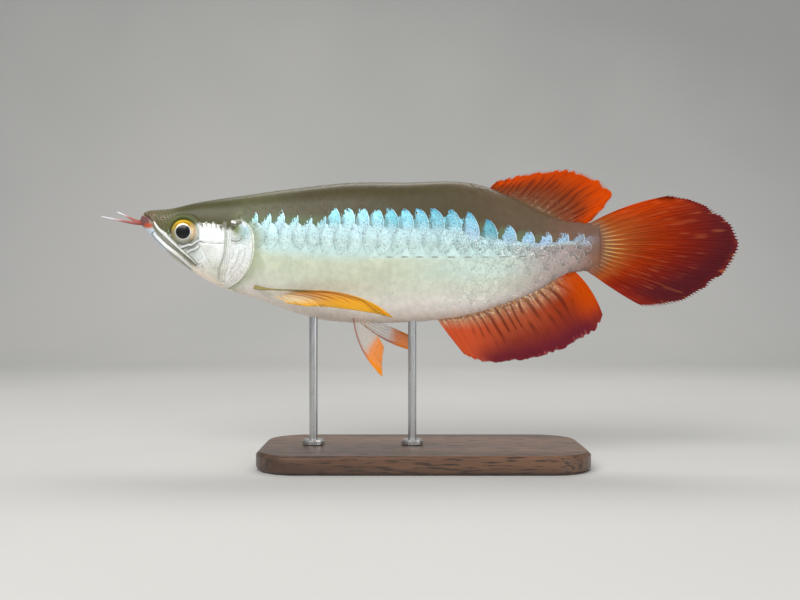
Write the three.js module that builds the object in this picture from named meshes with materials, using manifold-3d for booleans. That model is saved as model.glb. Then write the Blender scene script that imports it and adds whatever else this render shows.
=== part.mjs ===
// A young red Asian arowana, life size, as a still display model on a plain stand.
// Millimetres, +Z up. The head points to -X and the left flank faces -Y.
// Stations run back from the snout and heights run up from the body's axis, until the last lines
// set the whole on the middle of its base.
import * as THREE from "three";
import { mergeVertices } from "three/addons/utils/BufferGeometryUtils.js";
import Module from "manifold-3d";

const wasm = await Module();
wasm.setup();

// Driving dimensions
const GAP = 0.3; // clear space between neighbouring pieces
const SNOUT = -2.2; // station of the lower lip, the foremost point of the body
const STEM_END = 176.5; // station where the tail stem ends in the middle
const TAIL_TIP = 228.4; // station of the tail fin's rear edge
const BARBEL_TIP = -15.5; // station of the near barbel's tip
const AXIS_HEIGHT = 83; // the body's axis above the floor
const NAPE = 40.5; // station where the head ends on the back
const WAIST_CUT = 75; // station of the thin cut across the torso
const VENT = 108; // station where the torso ends and the tail stem begins

const SCALE_PITCH = 6.3; // length of one scale's bare part
const SCALE_ROWS = 14; // rows of scales around the whole body, an even number
const SCALE_LIFT = 0.62; // how far a scale's rear edge stands over its front
const SCALE_ROUNDING = 0.159; // bulge of a scale's rear edge, as a share of the pitch
const SCALE_GRID = [0.07, 0.5, 0.93]; // where one scale's cell is sampled, each way

const VIEW = { station: 97.8, height: -20.4, distance: 372 }; // where the side view was seen from
const EYE = { station: 16.1, height: 5.3, out: 5.6, radius: 5.1, depth: 3.2, sides: 14 };
const NOSTRIL = { places: [[3.3, 12.3], [6.8, 11.2]], long: 0.55, deep: 0.9, tall: 0.45, sides: 6 };

const BASE = { length: 124, width: 58, height: 7, corner: 16, edge: 1.2 };
const ROD = {
  radius: 1.6,
  footRadius: 4.2,
  footHeight: 1.8,
  footEdge: 0.6,
  sides: 16,
  stations: [64.5, 102.5],
};
const FAR = 40; // further than the body reaches, up, down and to each side

// A smooth curve through [station, value] pairs: cubic spans whose slopes come from both neighbours.
function through(points) {
  const span = points.slice(1).map((p, i) => p[0] - points[i][0]);
  const rise = points.slice(1).map((p, i) => (p[1] - points[i][1]) / span[i]);
  const slope = points.map((p, i) => {
    if (i === 0) return rise[0];
    if (i === points.length - 1) return rise[i - 1];
    return (rise[i - 1] * span[i] + rise[i] * span[i - 1]) / (span[i - 1] + span[i]);
  });
  return (x) => {
    const last = points.length - 2;
    let i = 0;
    while (i < last && x > points[i + 1][0]) i += 1;
    const t = THREE.MathUtils.clamp((x - points[i][0]) / span[i], 0, 1);
    const rest = 1 - t;
    return (
      points[i][1] * rest * rest * (1 + 2 * t) +
      points[i + 1][1] * t * t * (3 - 2 * t) +
      span[i] * t * rest * (slope[i] * rest - slope[i + 1] * t)
    );
  };
}

// The body's shape: heights of its back, belly and widest line, its half width, and how full its
// section is above and below that line, where 1 is an ellipse and less is squarer.
const backLine = through([
  [SNOUT, 10.4], [-1.3, 12.2], [0.6, 13.6], [4, 14.2], [9, 14.5], [20, 16.8], [42, 20.2],
  [60, 22.6], [78, 24.5], [98, 24.7], [131, 23.1], [141, 19.0], [163, 9.8], [170, 9.4], [186, 9.8],
]);
const bellyLine = through([
  [SNOUT, 10.4], [-1.7, 8.7], [-0.6, 7.3], [2, 4.2], [6.5, -0.6], [17.8, -9.3], [28.6, -15.4],
  [42, -19.6], [58, -25.4], [66, -27.6], [78, -29], [95, -29.1], [110, -28.2], [125, -26],
  [137, -22.2], [148, -18.2], [156, -13.8], [163, -9.9], [171, -9.6], [186, -10],
]);
const halfWidth = through([
  [SNOUT, 0], [-1.4, 2], [0.2, 3.4], [2.5, 4.6], [6, 5.9], [12, 7.4], [22, 9.1], [34, 10.4],
  [48, 11.2], [70, 11.4], [92, 10.9], [112, 9.6], [131, 7.6], [148, 5.4], [162, 3.9], [172, 3.1],
  [186, 2.5],
]);
const widestLine = through([
  [SNOUT, 10.4], [2, 9.5], [10, 7], [25, 4], [42, 3], [80, 2], [130, 2], [165, 0], [186, 0],
]);
const upperFullness = through([[SNOUT, 0.95], [10, 0.7], [40, 0.76], [80, 0.86], [186, 0.95]]);
const lowerFullness = through([[SNOUT, 1], [10, 1.1], [40, 1.08], [90, 1.12], [131, 1.1], [186, 1]]);

// Half of the body's section at a station, as points evenly sampled by angle from back to belly,
// with the length round it so far. The other half is its mirror.
const SECTION_STEPS = 48;
const sections = new Map();
function halfSection(station, grow) {
  const key = station.toFixed(4) + "/" + grow;
  if (sections.has(key)) return sections.get(key);
  const half = Math.max(halfWidth(station) + grow, 0);
  const widest = widestLine(station);
  const above = Math.max(backLine(station) + grow - widest, 0);
  const below = Math.max(widest - bellyLine(station) + grow, 0);
  const points = [];
  for (let k = 0; k <= SECTION_STEPS; k += 1) {
    const angle = (Math.PI * k) / SECTION_STEPS;
    const upper = 2 * k <= SECTION_STEPS;
    const fullness = upper ? upperFullness(station) : lowerFullness(station);
    const side = half * Math.max(Math.sin(angle), 0) ** fullness;
    const rise = Math.abs(Math.cos(angle)) ** fullness;
    points.push(new THREE.Vector2(side, upper ? widest + above * rise : widest - below * rise));
  }
  const round = [0];
  for (let k = 1; k <= SECTION_STEPS; k += 1) round.push(round[k - 1] + points[k].distanceTo(points[k - 1]));
  const made = { points, round };
  sections.set(key, made);
  return made;
}

// A point of the body's surface: share runs from 0 on the back to 1 on the belly and 2 at the back
// again, down the right side and up the left. lift is a height over the surface.
function skinPoint(station, share, grow = 0, lift = 0) {
  const wrapped = ((share % 2) + 2) % 2;
  const right = wrapped <= 1;
  const { points, round } = halfSection(station, grow);
  const goal = (right ? wrapped : 2 - wrapped) * round[SECTION_STEPS];
  let k = 0;
  while (k < SECTION_STEPS - 1 && round[k + 1] < goal) k += 1;
  const t = (goal - round[k]) / Math.max(round[k + 1] - round[k], 1e-9);
  const at = points[k].clone().lerp(points[k + 1], t);
  const along = points[Math.min(k + 2, SECTION_STEPS)].clone().sub(points[Math.max(k - 1, 0)]).normalize();
  const side = at.x - along.y * lift;
  return new THREE.Vector3(station, right ? side : -side, at.y + along.x * lift);
}

// Solids and the geometry that three.js draws
function toSolid(geometry) {
  const bare = new THREE.BufferGeometry();
  bare.setAttribute("position", geometry.getAttribute("position"));
  if (geometry.index) bare.setIndex(geometry.index);
  const merged = mergeVertices(bare, 1e-4);
  return new wasm.Manifold(
    new wasm.Mesh({
      numProp: 3,
      vertProperties: new Float32Array(merged.attributes.position.array),
      triVerts: new Uint32Array(merged.index.array),
    }),
  );
}

// A solid from corner points and triangles, turned to face outwards.
function faceted(points, triangles) {
  let volume = 0;
  for (const [a, b, c] of triangles) volume += points[a].dot(points[b].clone().cross(points[c]));
  const facing = volume < 0 ? triangles.map(([a, b, c]) => [a, c, b]) : triangles;
  const geometry = new THREE.BufferGeometry().setFromPoints(points);
  geometry.setIndex(facing.flat());
  return toSolid(geometry);
}

function largestPiece(solid) {
  return solid.decompose().reduce((best, piece) => (piece.volume() > best.volume() ? piece : best));
}

function toGeometry(solid) {
  const mesh = largestPiece(solid).getMesh();
  const places = new Float32Array(mesh.numVert * 3);
  for (let i = 0; i < mesh.numVert; i += 1) {
    places.set(mesh.vertProperties.subarray(i * mesh.numProp, i * mesh.numProp + 3), i * 3);
  }
  const geometry = new THREE.BufferGeometry();
  geometry.setAttribute("position", new THREE.BufferAttribute(places, 3));
  geometry.setIndex(new THREE.BufferAttribute(new Uint32Array(mesh.triVerts), 1));
  return geometry.toNonIndexed();
}

// A closed tube through rings of points, with a fan to a point at each end.
function tube(rings, first, last) {
  const count = rings[0].length;
  const points = [...rings.flat(), first, last];
  const triangles = [];
  rings.forEach((ring, r) => {
    ring.forEach((_, i) => {
      const j = (i + 1) % count;
      if (r === 0) triangles.push([points.length - 2, j, i]);
      if (r === rings.length - 1) triangles.push([points.length - 1, r * count + i, r * count + j]);
      else {
        const [a, b, c, d] = [r * count + i, r * count + j, (r + 1) * count + j, (r + 1) * count + i];
        triangles.push([a, b, c], [a, c, d]);
      }
    });
  });
  return faceted(points, triangles);
}

// A flat outline of [station, height] points, run through the body from one y to another.
function prism(outline, yLow = -FAR, yHigh = FAR) {
  const shape = new THREE.Shape(outline.map(([x, z]) => new THREE.Vector2(x, z)));
  const geometry = new THREE.ExtrudeGeometry(shape, { depth: yHigh - yLow, bevelEnabled: false });
  geometry.rotateX(Math.PI / 2);
  geometry.translate(0, yHigh, 0);
  return toSolid(geometry);
}

function curvePoints(corners, count) {
  const curve = new THREE.SplineCurve(corners.map(([x, z]) => new THREE.Vector2(x, z)));
  return curve.getPoints(count).map((p) => [p.x, p.y]);
}
const shifted = (outline, dx, dz = 0) => outline.map(([x, z]) => [x + dx, z + dz]);

// The smooth front of the body, from the lips to past the nape, larger or smaller by grow.
const HEAD_RINGS = 21;
const HEAD_SIDES = 28;
const HEAD_RUN = 49; // how far the smooth front reaches back
const HEAD_CROWDING = 1.3; // over 1 sets the rings closer together towards the lips
function headBlank(grow) {
  const rings = [];
  for (let r = 1; r <= HEAD_RINGS; r += 1) {
    const station = SNOUT + HEAD_RUN * (r / HEAD_RINGS) ** HEAD_CROWDING;
    rings.push(Array.from({ length: HEAD_SIDES }, (_, i) => skinPoint(station, (2 * i) / HEAD_SIDES, grow)));
  }
  const tip = new THREE.Vector3(SNOUT - grow, 0, backLine(SNOUT));
  return tube(rings, tip, new THREE.Vector3(SNOUT + HEAD_RUN, 0, 0));
}

// The scaled body behind the head. Scales lie on a lattice of slanting lines, so that each is one
// cell whose two rear sides stand over the next scales and whose edges bulge to the rear.
function scaledTrunk(grow) {
  const points = [];
  const found = new Map();
  const turn = SCALE_ROWS / 2;
  const samples = SCALE_GRID.length;
  const start = NAPE - 2 * SCALE_PITCH;
  const cells = Math.ceil((STEM_END + 8 - start) / SCALE_PITCH) * 2;

  function corner(a, b, i, j) {
    let [across, along] = [a, b];
    let [p, q] = [i, j];
    if (p === samples) [across, p] = [across + 1, 0];
    if (q === samples) [along, q] = [along + 1, 0];
    while (across - along >= SCALE_ROWS) [across, along] = [across - turn, along + turn];
    while (across - along < 0) [across, along] = [across + turn, along - turn];
    const key = [across, along, p, q].join();
    if (!found.has(key)) {
      const row = across + SCALE_GRID[p] - (along + SCALE_GRID[q]);
      const column = (across + SCALE_GRID[p] + along + SCALE_GRID[q]) / 2;
      const bulge = SCALE_ROUNDING * Math.abs(Math.sin(Math.PI * row));
      const station = start + SCALE_PITCH * (column + bulge);
      const girth = halfSection(station, 0).round[SECTION_STEPS];
      const lift = SCALE_LIFT * Math.min(1, 0.4 + girth / 90);
      found.set(key, points.length);
      const height = grow + lift * ((SCALE_GRID[p] + SCALE_GRID[q]) / 2 - 0.5);
      points.push(skinPoint(station, row / turn, 0, height));
    }
    return found.get(key);
  }

  const triangles = [];
  for (let row = 0; row < SCALE_ROWS; row += 1) {
    for (let sum = row % 2; sum < cells; sum += 2) {
      const [a, b] = [(sum + row) / 2, (sum - row) / 2];
      for (let i = 0; i < samples; i += 1) {
        for (let j = 0; j < samples; j += 1) {
          const [k, l] = [corner(a, b, i, j), corner(a, b, i + 1, j)];
          const [m, n] = [corner(a, b, i + 1, j + 1), corner(a, b, i, j + 1)];
          triangles.push([k, l, m], [k, m, n]);
        }
      }
    }
  }

  // Each open edge at the two ragged ends is closed to a point inside the body.
  const edges = new Set(triangles.flatMap(([a, b, c]) => [a + "," + b, b + "," + c, c + "," + a]));
  const pairs = [...edges].map((edge) => edge.split(",").map(Number));
  const open = pairs.filter(([a, b]) => !edges.has(b + "," + a));
  const middle = (NAPE + STEM_END) / 2;
  const [front, rear] = [points.length, points.length + 1];
  points.push(new THREE.Vector3(start - SCALE_PITCH, 0, 0), new THREE.Vector3(STEM_END + 20, 0, 0));
  for (const [a, b] of open) triangles.push([b, a, points[a].x < middle ? front : rear]);
  return faceted(points, triangles);
}

// A fin: rays run from a root line to a margin, both given by u from the first ray to the last,
// each bowed by its own vector. The rays are ridges, the web between them is thinner, and its edge
// lies a little short of the ray tips.
function fin({ rays, steps, root, margin, bow, rayHalf, webHalf, rootHalf, notch }) {
  const columns = 2 * rays - 1;
  const front = [];
  const back = [];
  const place = (u, v, isRay) => {
    const from = root(u);
    const to = margin(u);
    const reach = isRay ? 1 : 1 - notch / Math.max(from.distanceTo(to), notch);
    const t = v * reach;
    const middle = from.clone().lerp(to, 0.5).add(bow(u));
    return from
      .multiplyScalar((1 - t) ** 2)
      .addScaledVector(middle, 2 * t * (1 - t))
      .addScaledVector(to, t * t);
  };
  const near = 1e-3;
  for (let c = 0; c < columns; c += 1) {
    const u = c / (columns - 1);
    const isRay = c % 2 === 0;
    for (let r = 0; r <= steps; r += 1) {
      const v = r / steps;
      const at = place(u, v, isRay);
      const across = place(Math.min(u + near, 1), v, isRay).sub(place(Math.max(u - near, 0), v, isRay));
      const along = place(u, Math.min(v + near, 1), isRay).sub(place(u, Math.max(v - near, 0), isRay));
      const normal = across.cross(along).normalize();
      const web = webHalf * (1 - 0.3 * v);
      const ridge = isRay ? (rayHalf - webHalf) * (1 - 0.65 * v) : 0;
      const half = web + ridge + (rootHalf - webHalf) * (1 - v) ** 6;
      front.push(at.clone().addScaledVector(normal, half));
      back.push(at.clone().addScaledVector(normal, -half));
    }
  }
  const wide = steps + 1;
  const behind = front.length;
  const triangles = [];
  const quad = (a, b, c, d) => triangles.push([a, b, c], [a, c, d]);
  for (let c = 0; c < columns - 1; c += 1) {
    for (let r = 0; r < steps; r += 1) {
      const [a, b, d, e] = [c * wide + r, (c + 1) * wide + r, (c + 1) * wide + r + 1, c * wide + r + 1];
      triangles.push([a, b, d], [a, d, e]);
      triangles.push([behind + a, behind + d, behind + b], [behind + a, behind + e, behind + d]);
    }
    const [a, b] = [c * wide, (c + 1) * wide];
    quad(a, behind + a, behind + b, b);
    quad(a + steps, b + steps, behind + b + steps, behind + a + steps);
  }
  const end = (columns - 1) * wide;
  for (let r = 0; r < steps; r += 1) {
    quad(r, r + 1, behind + r + 1, behind + r);
    quad(end + r, behind + end + r, behind + end + r + 1, end + r + 1);
  }
  return faceted([...front, ...back], triangles);
}

const flat = (station, height) => new THREE.Vector3(station, 0, height);
const lineTo = (corners) => {
  const places = corners.map(([x, y, z]) => new THREE.Vector3(x, y, z));
  const curve = new THREE.CatmullRomCurve3(places, false, "centripetal");
  return (u) => curve.getPointAt(THREE.MathUtils.clamp(u, 0, 1));
};
const blendOf = (a, b) => (u) => new THREE.Vector3(...a).lerp(new THREE.Vector3(...b), u);

const SUNK = 1.8; // how deep a fin's root line lies before the body is cut from it

function dorsalFin() {
  const [from, to] = [131.5, 165];
  return fin({
    rays: 14,
    steps: 5,
    root: (u) => flat(from + (to - from) * u, backLine(from + (to - from) * u) - SUNK),
    margin: lineTo([
      [135.5, 0, 25.9], [147.9, 0, 29], [158, 0, 30], [165.5, 0, 29.9], [172.5, 0, 27.4],
      [178.2, 0, 23.6], [179.8, 0, 20.6], [177.5, 0, 16.2], [172.3, 0, 10.4],
    ]),
    bow: blendOf([-0.3, 0, 0.6], [0.3, 0, -0.9]),
    rayHalf: 0.62,
    webHalf: 0.4,
    rootHalf: 1.5,
    notch: 1,
  });
}

function analFin() {
  const [from, to] = [111, 163.5];
  const margin = lineTo([
    [123, 0, -42], [129.1, 0, -44.5], [138, 0, -44.8], [147.5, 0, -43.7], [157.5, 0, -40.8],
    [167, 0, -36.4], [174, 0, -31.6], [176.3, 0, -26.5],
  ]);
  return fin({
    rays: 20,
    steps: 5,
    root: (u) => flat(from + (to - from) * u, bellyLine(from + (to - from) * u) + SUNK),
    margin: (u) => margin(u ** 1.2),
    bow: blendOf([-0.6, 0, 0.2], [2.4, 0, 2]),
    rayHalf: 0.62,
    webHalf: 0.4,
    rootHalf: 1.4,
    notch: 1,
  });
}

const STEM_BULGE = 5; // how far the tail stem's end bulges past its corners
const stemEnd = (height) => STEM_END - STEM_BULGE * (height / 10) ** 2;
function tailFin() {
  const [top, bottom] = [9.1, -9.4];
  return fin({
    rays: 17,
    steps: 6,
    root: (u) => {
      const height = top + (bottom - top) * u;
      return flat(stemEnd(height) - SUNK, height);
    },
    margin: lineTo([
      [202.3, 0, 20.3], [209, 0, 18.8], [216, 0, 16], [222.6, 0, 11.6], [227.3, 0, 5.6],
      [TAIL_TIP, 0, -0.6], [226, 0, -6.6], [219.5, 0, -13.2], [211, 0, -19.2], [201, 0, -22.8],
      [191.5, 0, -23.4],
    ]),
    bow: blendOf([0, 0, 0.6], [1, 0, -1.7]),
    rayHalf: 0.68,
    webHalf: 0.42,
    rootHalf: 1.9,
    notch: 1.6,
  });
}

// side is -1 for the left fin and 1 for the right. The first ray is the outer, upper edge.
function pectoralFin(side) {
  const root = blendOf([42.7, side * 7.6, -14.5], [47.6, side * 6.4, -18.2]);
  return fin({
    rays: 7,
    steps: 7,
    root,
    margin: lineTo([
      [96.1, side * 22, -27.2], [88.5, side * 19.5, -25.3], [79.9, side * 17.2, -23.9],
      [70.1, side * 14.6, -23.1], [62.2, side * 12.4, -22.7], [56.2, side * 10.4, -21.6],
    ]),
    bow: blendOf([2, side * 5, 10], [0.5, side * 0.8, 0]),
    rayHalf: 0.6,
    webHalf: 0.34,
    rootHalf: 0.8,
    notch: 0.8,
  });
}

// The near one hangs and the far one trails, as the fish holds them.
const PELVIC = {
  left: {
    side: -1,
    root: [[79.8, 2.6, -27.2], [85, 2.6, -27.2]],
    margin: [[91.4, 7.5, -49.8], [91.2, 7, -45.8], [91.6, 6.5, -42], [92.2, 6, -39]],
    bow: [[-4.6, 0.6, -1.6], [0.6, 0, 0]],
  },
  right: {
    side: 1,
    root: [[80.4, 2.6, -27.2], [85.6, 2.6, -27.2]],
    margin: [[104.6, 9.5, -41], [104, 9, -38.2], [103.2, 8.4, -36], [101.4, 7.8, -34.4]],
    bow: [[-1.8, 0.8, -3.6], [0, 0.2, 0.6]],
  },
};
function pelvicFin({ side, root, margin, bow }) {
  const turned = ([x, y, z]) => [x, side * y, z];
  return fin({
    rays: 6,
    steps: 6,
    root: blendOf(...root.map(turned)),
    margin: lineTo(margin.map(turned)),
    bow: blendOf(...bow.map(turned)),
    rayHalf: 0.52,
    webHalf: 0.32,
    rootHalf: 0.7,
    notch: 0.8,
  });
}

// A feeler on the chin: a round taper along a curve, rooted in the lower lip.
const BARBEL_SIDES = 7;
const BARBEL_STEPS = 7;
const BARBEL_RADIUS = { root: 0.92, tip: 0.2 };
const BARBELS = {
  left: [[0.8, -1.5, 9.1], [-2.8, -2.3, 9], [-8.4, -4, 9.8], [BARBEL_TIP, -6, 11.3]],
  right: [[0.4, 1.5, 9.4], [-3.9, 2.6, 10.1], [-8.6, 5.6, 12.1], [-14, 9.6, 14.5]],
};
function barbel(corners) {
  const curve = lineTo(corners);
  const rings = [];
  for (let k = 0; k < BARBEL_STEPS; k += 1) {
    const u = k / BARBEL_STEPS;
    const at = curve(u);
    const ahead = curve(u + 0.01).sub(at).normalize();
    const across = new THREE.Vector3(0, 0, 1).cross(ahead).normalize();
    const up = ahead.clone().cross(across);
    const radius = BARBEL_RADIUS.tip + (BARBEL_RADIUS.root - BARBEL_RADIUS.tip) * (1 - u) ** 0.8;
    rings.push(
      Array.from({ length: BARBEL_SIDES }, (_, i) => {
        const angle = (2 * Math.PI * i) / BARBEL_SIDES;
        return at
          .clone()
          .addScaledVector(across, radius * Math.cos(angle))
          .addScaledVector(up, radius * Math.sin(angle));
      }),
    );
  }
  return tube(rings, curve(0), curve(1));
}

function ball(radiusX, radiusY, radiusZ, [x, y, z], sides) {
  const geometry = new THREE.SphereGeometry(1, sides, sides / 2 + 1);
  geometry.scale(radiusX, radiusY, radiusZ);
  geometry.translate(x, y, z);
  return toSolid(geometry);
}

// A place read from the side view, brought back to where it lies on the flank. What stands out from
// the middle plane is nearer the viewer and looks further from the view's centre than it is.
function drawnIn([station, height]) {
  let place = [station, height];
  for (let pass = 0; pass < 3; pass += 1) {
    const [x, z] = place;
    const widest = widestLine(x);
    const reach = z > widest ? backLine(x) - widest : widest - bellyLine(x);
    const rise = Math.min(Math.abs(z - widest) / Math.max(reach, 1e-6), 1);
    const nearer = 1 - (halfWidth(x) * Math.sqrt(1 - rise * rise)) / VIEW.distance;
    place = [
      VIEW.station + (station - VIEW.station) * nearer,
      VIEW.height + (height - VIEW.height) * nearer,
    ];
  }
  return place;
}

// Outlines on the side of the head
const onHead = (corners, count) => curvePoints(corners.map(drawnIn), count);
const gillEdge = onHead([[36.6, 11.2], [40.6, 7.4], [41.8, 0.5], [40.4, -7], [36.2, -13.2], [31, -16.2]], 14);
const mouthLine = onHead([[-0.6, 13.6], [1.5, 10.9], [2.6, 7.6], [7.3, 1.4], [12.9, -2.5], [19, -7.2]], 12);
const maxillaTop = onHead([[20.2, -6.6], [18.4, -4.4], [14.3, -1.6], [9, 3.2], [5.1, 6.4], [3.1, 9.8]], 9);
const gillFront = onHead([[29.8, -14.6], [28.4, -7.4], [30.2, -0.1], [30.6, 6.4], [32.6, 10.4]], 9);

const AHEAD = SNOUT - 9; // a station clear in front of the lips
const headRegion = [[AHEAD, FAR], [NAPE, FAR], [NAPE - 0.6, 16], ...gillEdge, [30, -FAR], [AHEAD, -FAR]];
const jawRegion = [...mouthLine, [22.6, -12], [22.6, -FAR], [AHEAD, -FAR], [AHEAD, 13.6]];
const gillRegion = [...gillEdge, ...gillFront];
const maxillaRegion = [...shifted(mouthLine.slice(3), 0.15, 0.3), ...maxillaTop];

// An outline moved outwards by the same amount all round, corner by corner.
function widened(outline, by) {
  const turn = Math.sign(THREE.ShapeUtils.area(outline.map(([x, y]) => new THREE.Vector2(x, y))));
  return outline.map(([x, z], i) => {
    const before = outline[(i + outline.length - 1) % outline.length];
    const after = outline[(i + 1) % outline.length];
    const along = new THREE.Vector2(after[0] - before[0], after[1] - before[1]).normalize();
    return [x + by * turn * along.y, z - by * turn * along.x];
  });
}

// A bony plate let into the side of the head: raised over the skin and set in a pocket of its own.
const PLATE = { over: 0.4, under: 1.1, inner: 1.5, outer: 24 };
function platesOf(region, side) {
  const [low, high] = side < 0 ? [-PLATE.outer, -PLATE.inner] : [PLATE.inner, PLATE.outer];
  const plate = prism(region, low, high).intersect(headBlank(PLATE.over)).subtract(headBlank(-PLATE.under));
  const pocket = prism(widened(region, GAP), low, high)
    .intersect(headBlank(3))
    .subtract(headBlank(-PLATE.under - GAP));
  return { plate, pocket };
}

const SIDES = { left: -1, right: 1 };

// The head with its jaw parted from it, and the plates, eyes and nostrils of both sides.
function headParts() {
  const blank = headBlank(0);
  const parts = { jaw: blank.intersect(prism(shifted(jawRegion, -GAP / 2, -GAP / 2))) };
  let head = blank.intersect(prism(headRegion)).subtract(prism(jawRegion));
  for (const [name, side] of Object.entries(SIDES)) {
    const gill = platesOf(gillRegion, side);
    const maxilla = platesOf(maxillaRegion, side);
    parts["gill_cover_" + name] = gill.plate;
    parts["maxilla_" + name] = maxilla.plate.subtract(prism(jawRegion));
    head = head.subtract(gill.pocket).subtract(maxilla.pocket);
    const { station, height, out, radius, depth, sides } = EYE;
    const centre = [station, side * out, height];
    parts["eye_" + name] = ball(radius, depth, radius, centre, sides);
    head = head.subtract(ball(radius + GAP, depth + GAP, radius + GAP, centre, sides));
    for (const [x, z] of NOSTRIL.places) {
      const place = [x, side * halfWidth(x), z];
      head = head.subtract(ball(NOSTRIL.long, NOSTRIL.deep, NOSTRIL.tall, place, NOSTRIL.sides));
    }
  }
  parts.head = head;
  return parts;
}

// The rear edge of the tail stem, from above the body to below it.
const stemLine = Array.from({ length: 13 }, (_, i) => [stemEnd(12 - 2 * i), 12 - 2 * i]);
const behindVent = (from, shift) => [
  [from, FAR],
  ...shifted([[stemLine[0][0], FAR], ...stemLine, [stemLine[12][0], -FAR]], shift),
  [from, -FAR],
];

// The trunk in three lengths, parted by thin cuts.
function trunkParts() {
  const trunk = scaledTrunk(0);
  const slab = (from, to) => prism([[from, FAR], [to, FAR], [to, -FAR], [from, -FAR]]);
  return {
    torso_front: trunk.subtract(prism(shifted(headRegion, GAP + 0.1))).intersect(slab(0, WAIST_CUT)),
    torso_rear: trunk.intersect(slab(WAIST_CUT + GAP, VENT)),
    tail_stem: trunk.intersect(prism(behindVent(VENT + GAP, 0))),
  };
}

// The fins and feelers, cut back to stand a thin gap clear of the body that carries them.
function finParts(clear) {
  const parts = {
    dorsal_fin: dorsalFin().subtract(clear),
    anal_fin: analFin().subtract(clear),
    tail_fin: tailFin().subtract(prism(behindVent(VENT, GAP))),
  };
  const headClear = headBlank(PLATE.over + GAP).intersect(prism(headRegion));
  const lip = headBlank(GAP);
  for (const [name, side] of Object.entries(SIDES)) {
    parts["pectoral_fin_" + name] = pectoralFin(side).subtract(clear).subtract(headClear);
    parts["pelvic_fin_" + name] = pelvicFin(PELVIC[name]).subtract(clear);
    parts["barbel_" + name] = barbel(BARBELS[name]).subtract(lip);
  }
  return parts;
}

// The rods stand on the base and end against the belly.
function rodParts(clear) {
  const { radius, footRadius, footHeight, footEdge, sides, stations } = ROD;
  const seat = BASE.height - AXIS_HEIGHT + GAP;
  const parts = {};
  stations.forEach((station, i) => {
    const top = bellyLine(station) + 6;
    const profile = [
      [0, seat], [footRadius, seat], [footRadius, seat + footHeight - footEdge],
      [footRadius - footEdge, seat + footHeight], [radius, seat + footHeight], [radius, top], [0, top],
    ];
    const geometry = new THREE.LatheGeometry(profile.map(([x, y]) => new THREE.Vector2(x, y)), sides);
    geometry.rotateX(Math.PI / 2);
    geometry.translate(station, 0, 0);
    parts["stand_rod_" + ["front", "rear"][i]] = toSolid(geometry).subtract(clear);
  });
  return parts;
}

// The base: a plate with round corners and a bevelled upper edge.
function standBase() {
  const { length, width, height, corner, edge } = BASE;
  const [x, y] = [length / 2 - corner, width / 2 - corner];
  const shape = new THREE.Shape();
  shape.absarc(x, y, corner - edge, 0, Math.PI / 2);
  shape.absarc(-x, y, corner - edge, Math.PI / 2, Math.PI);
  shape.absarc(-x, -y, corner - edge, Math.PI, 1.5 * Math.PI);
  shape.absarc(x, -y, corner - edge, 1.5 * Math.PI, 2 * Math.PI);
  const geometry = new THREE.ExtrudeGeometry(shape, {
    depth: height - 2 * edge,
    bevelThickness: edge,
    bevelSize: edge,
    bevelSegments: 1,
    curveSegments: 4,
  });
  geometry.translate(0, 0, edge);
  return toSolid(geometry);
}

// Colours and finishes
const finish = (color, roughness, metalness = 0) =>
  new THREE.MeshStandardMaterial({ color, roughness, metalness });
const MATERIALS = {
  skin: finish(0xb9c2b4, 0.35, 0.25),
  plate: finish(0xdfe6e2, 0.3, 0.3),
  eye: finish(0x14181c, 0.1),
  redFin: finish(0xc4421a, 0.45),
  paleFin: finish(0xe39a3c, 0.45),
  feeler: finish(0xd98d7c, 0.5),
  base: finish(0x2b2a2a, 0.4),
  rod: finish(0xb8babc, 0.25, 0.9),
};
const materialOf = (name) => {
  if (name.startsWith("eye")) return MATERIALS.eye;
  if (name.startsWith("barbel")) return MATERIALS.feeler;
  if (name.startsWith("gill") || name.startsWith("maxilla") || name === "jaw") return MATERIALS.plate;
  if (name.startsWith("pectoral") || name.startsWith("pelvic")) return MATERIALS.paleFin;
  if (name.endsWith("fin")) return MATERIALS.redFin;
  if (name.startsWith("stand_rod")) return MATERIALS.rod;
  if (name.startsWith("stand")) return MATERIALS.base;
  return MATERIALS.skin;
};

const arowana = new THREE.Group();
const raised = new THREE.Group();
raised.position.set(-(BARBEL_TIP + TAIL_TIP) / 2, 0, AXIS_HEIGHT);
arowana.add(raised);
const clear = scaledTrunk(GAP);
const pieces = { ...headParts(), ...trunkParts(), ...finParts(clear), ...rodParts(clear) };
for (const [name, solid] of Object.entries(pieces)) {
  const mesh = new THREE.Mesh(toGeometry(solid), materialOf(name));
  mesh.name = name;
  raised.add(mesh);
}
const base = new THREE.Mesh(toGeometry(standBase()), MATERIALS.base);
base.name = "stand_base";
arowana.add(base);

export default arowana;
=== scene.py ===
# %% [markdown]
# A young red arowana, worked out in numpy and dressed cell by cell.
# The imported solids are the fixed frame: they say where each part of the fish is and how big it is.
# Everything new is a surface, a function of two parameters on a grid, laid over that frame.
# Lengths are millimetres in the fish's own measure: a station runs back from the snout, a height
# runs up from the body's axis, and the last step of each piece turns them into metres.

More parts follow.
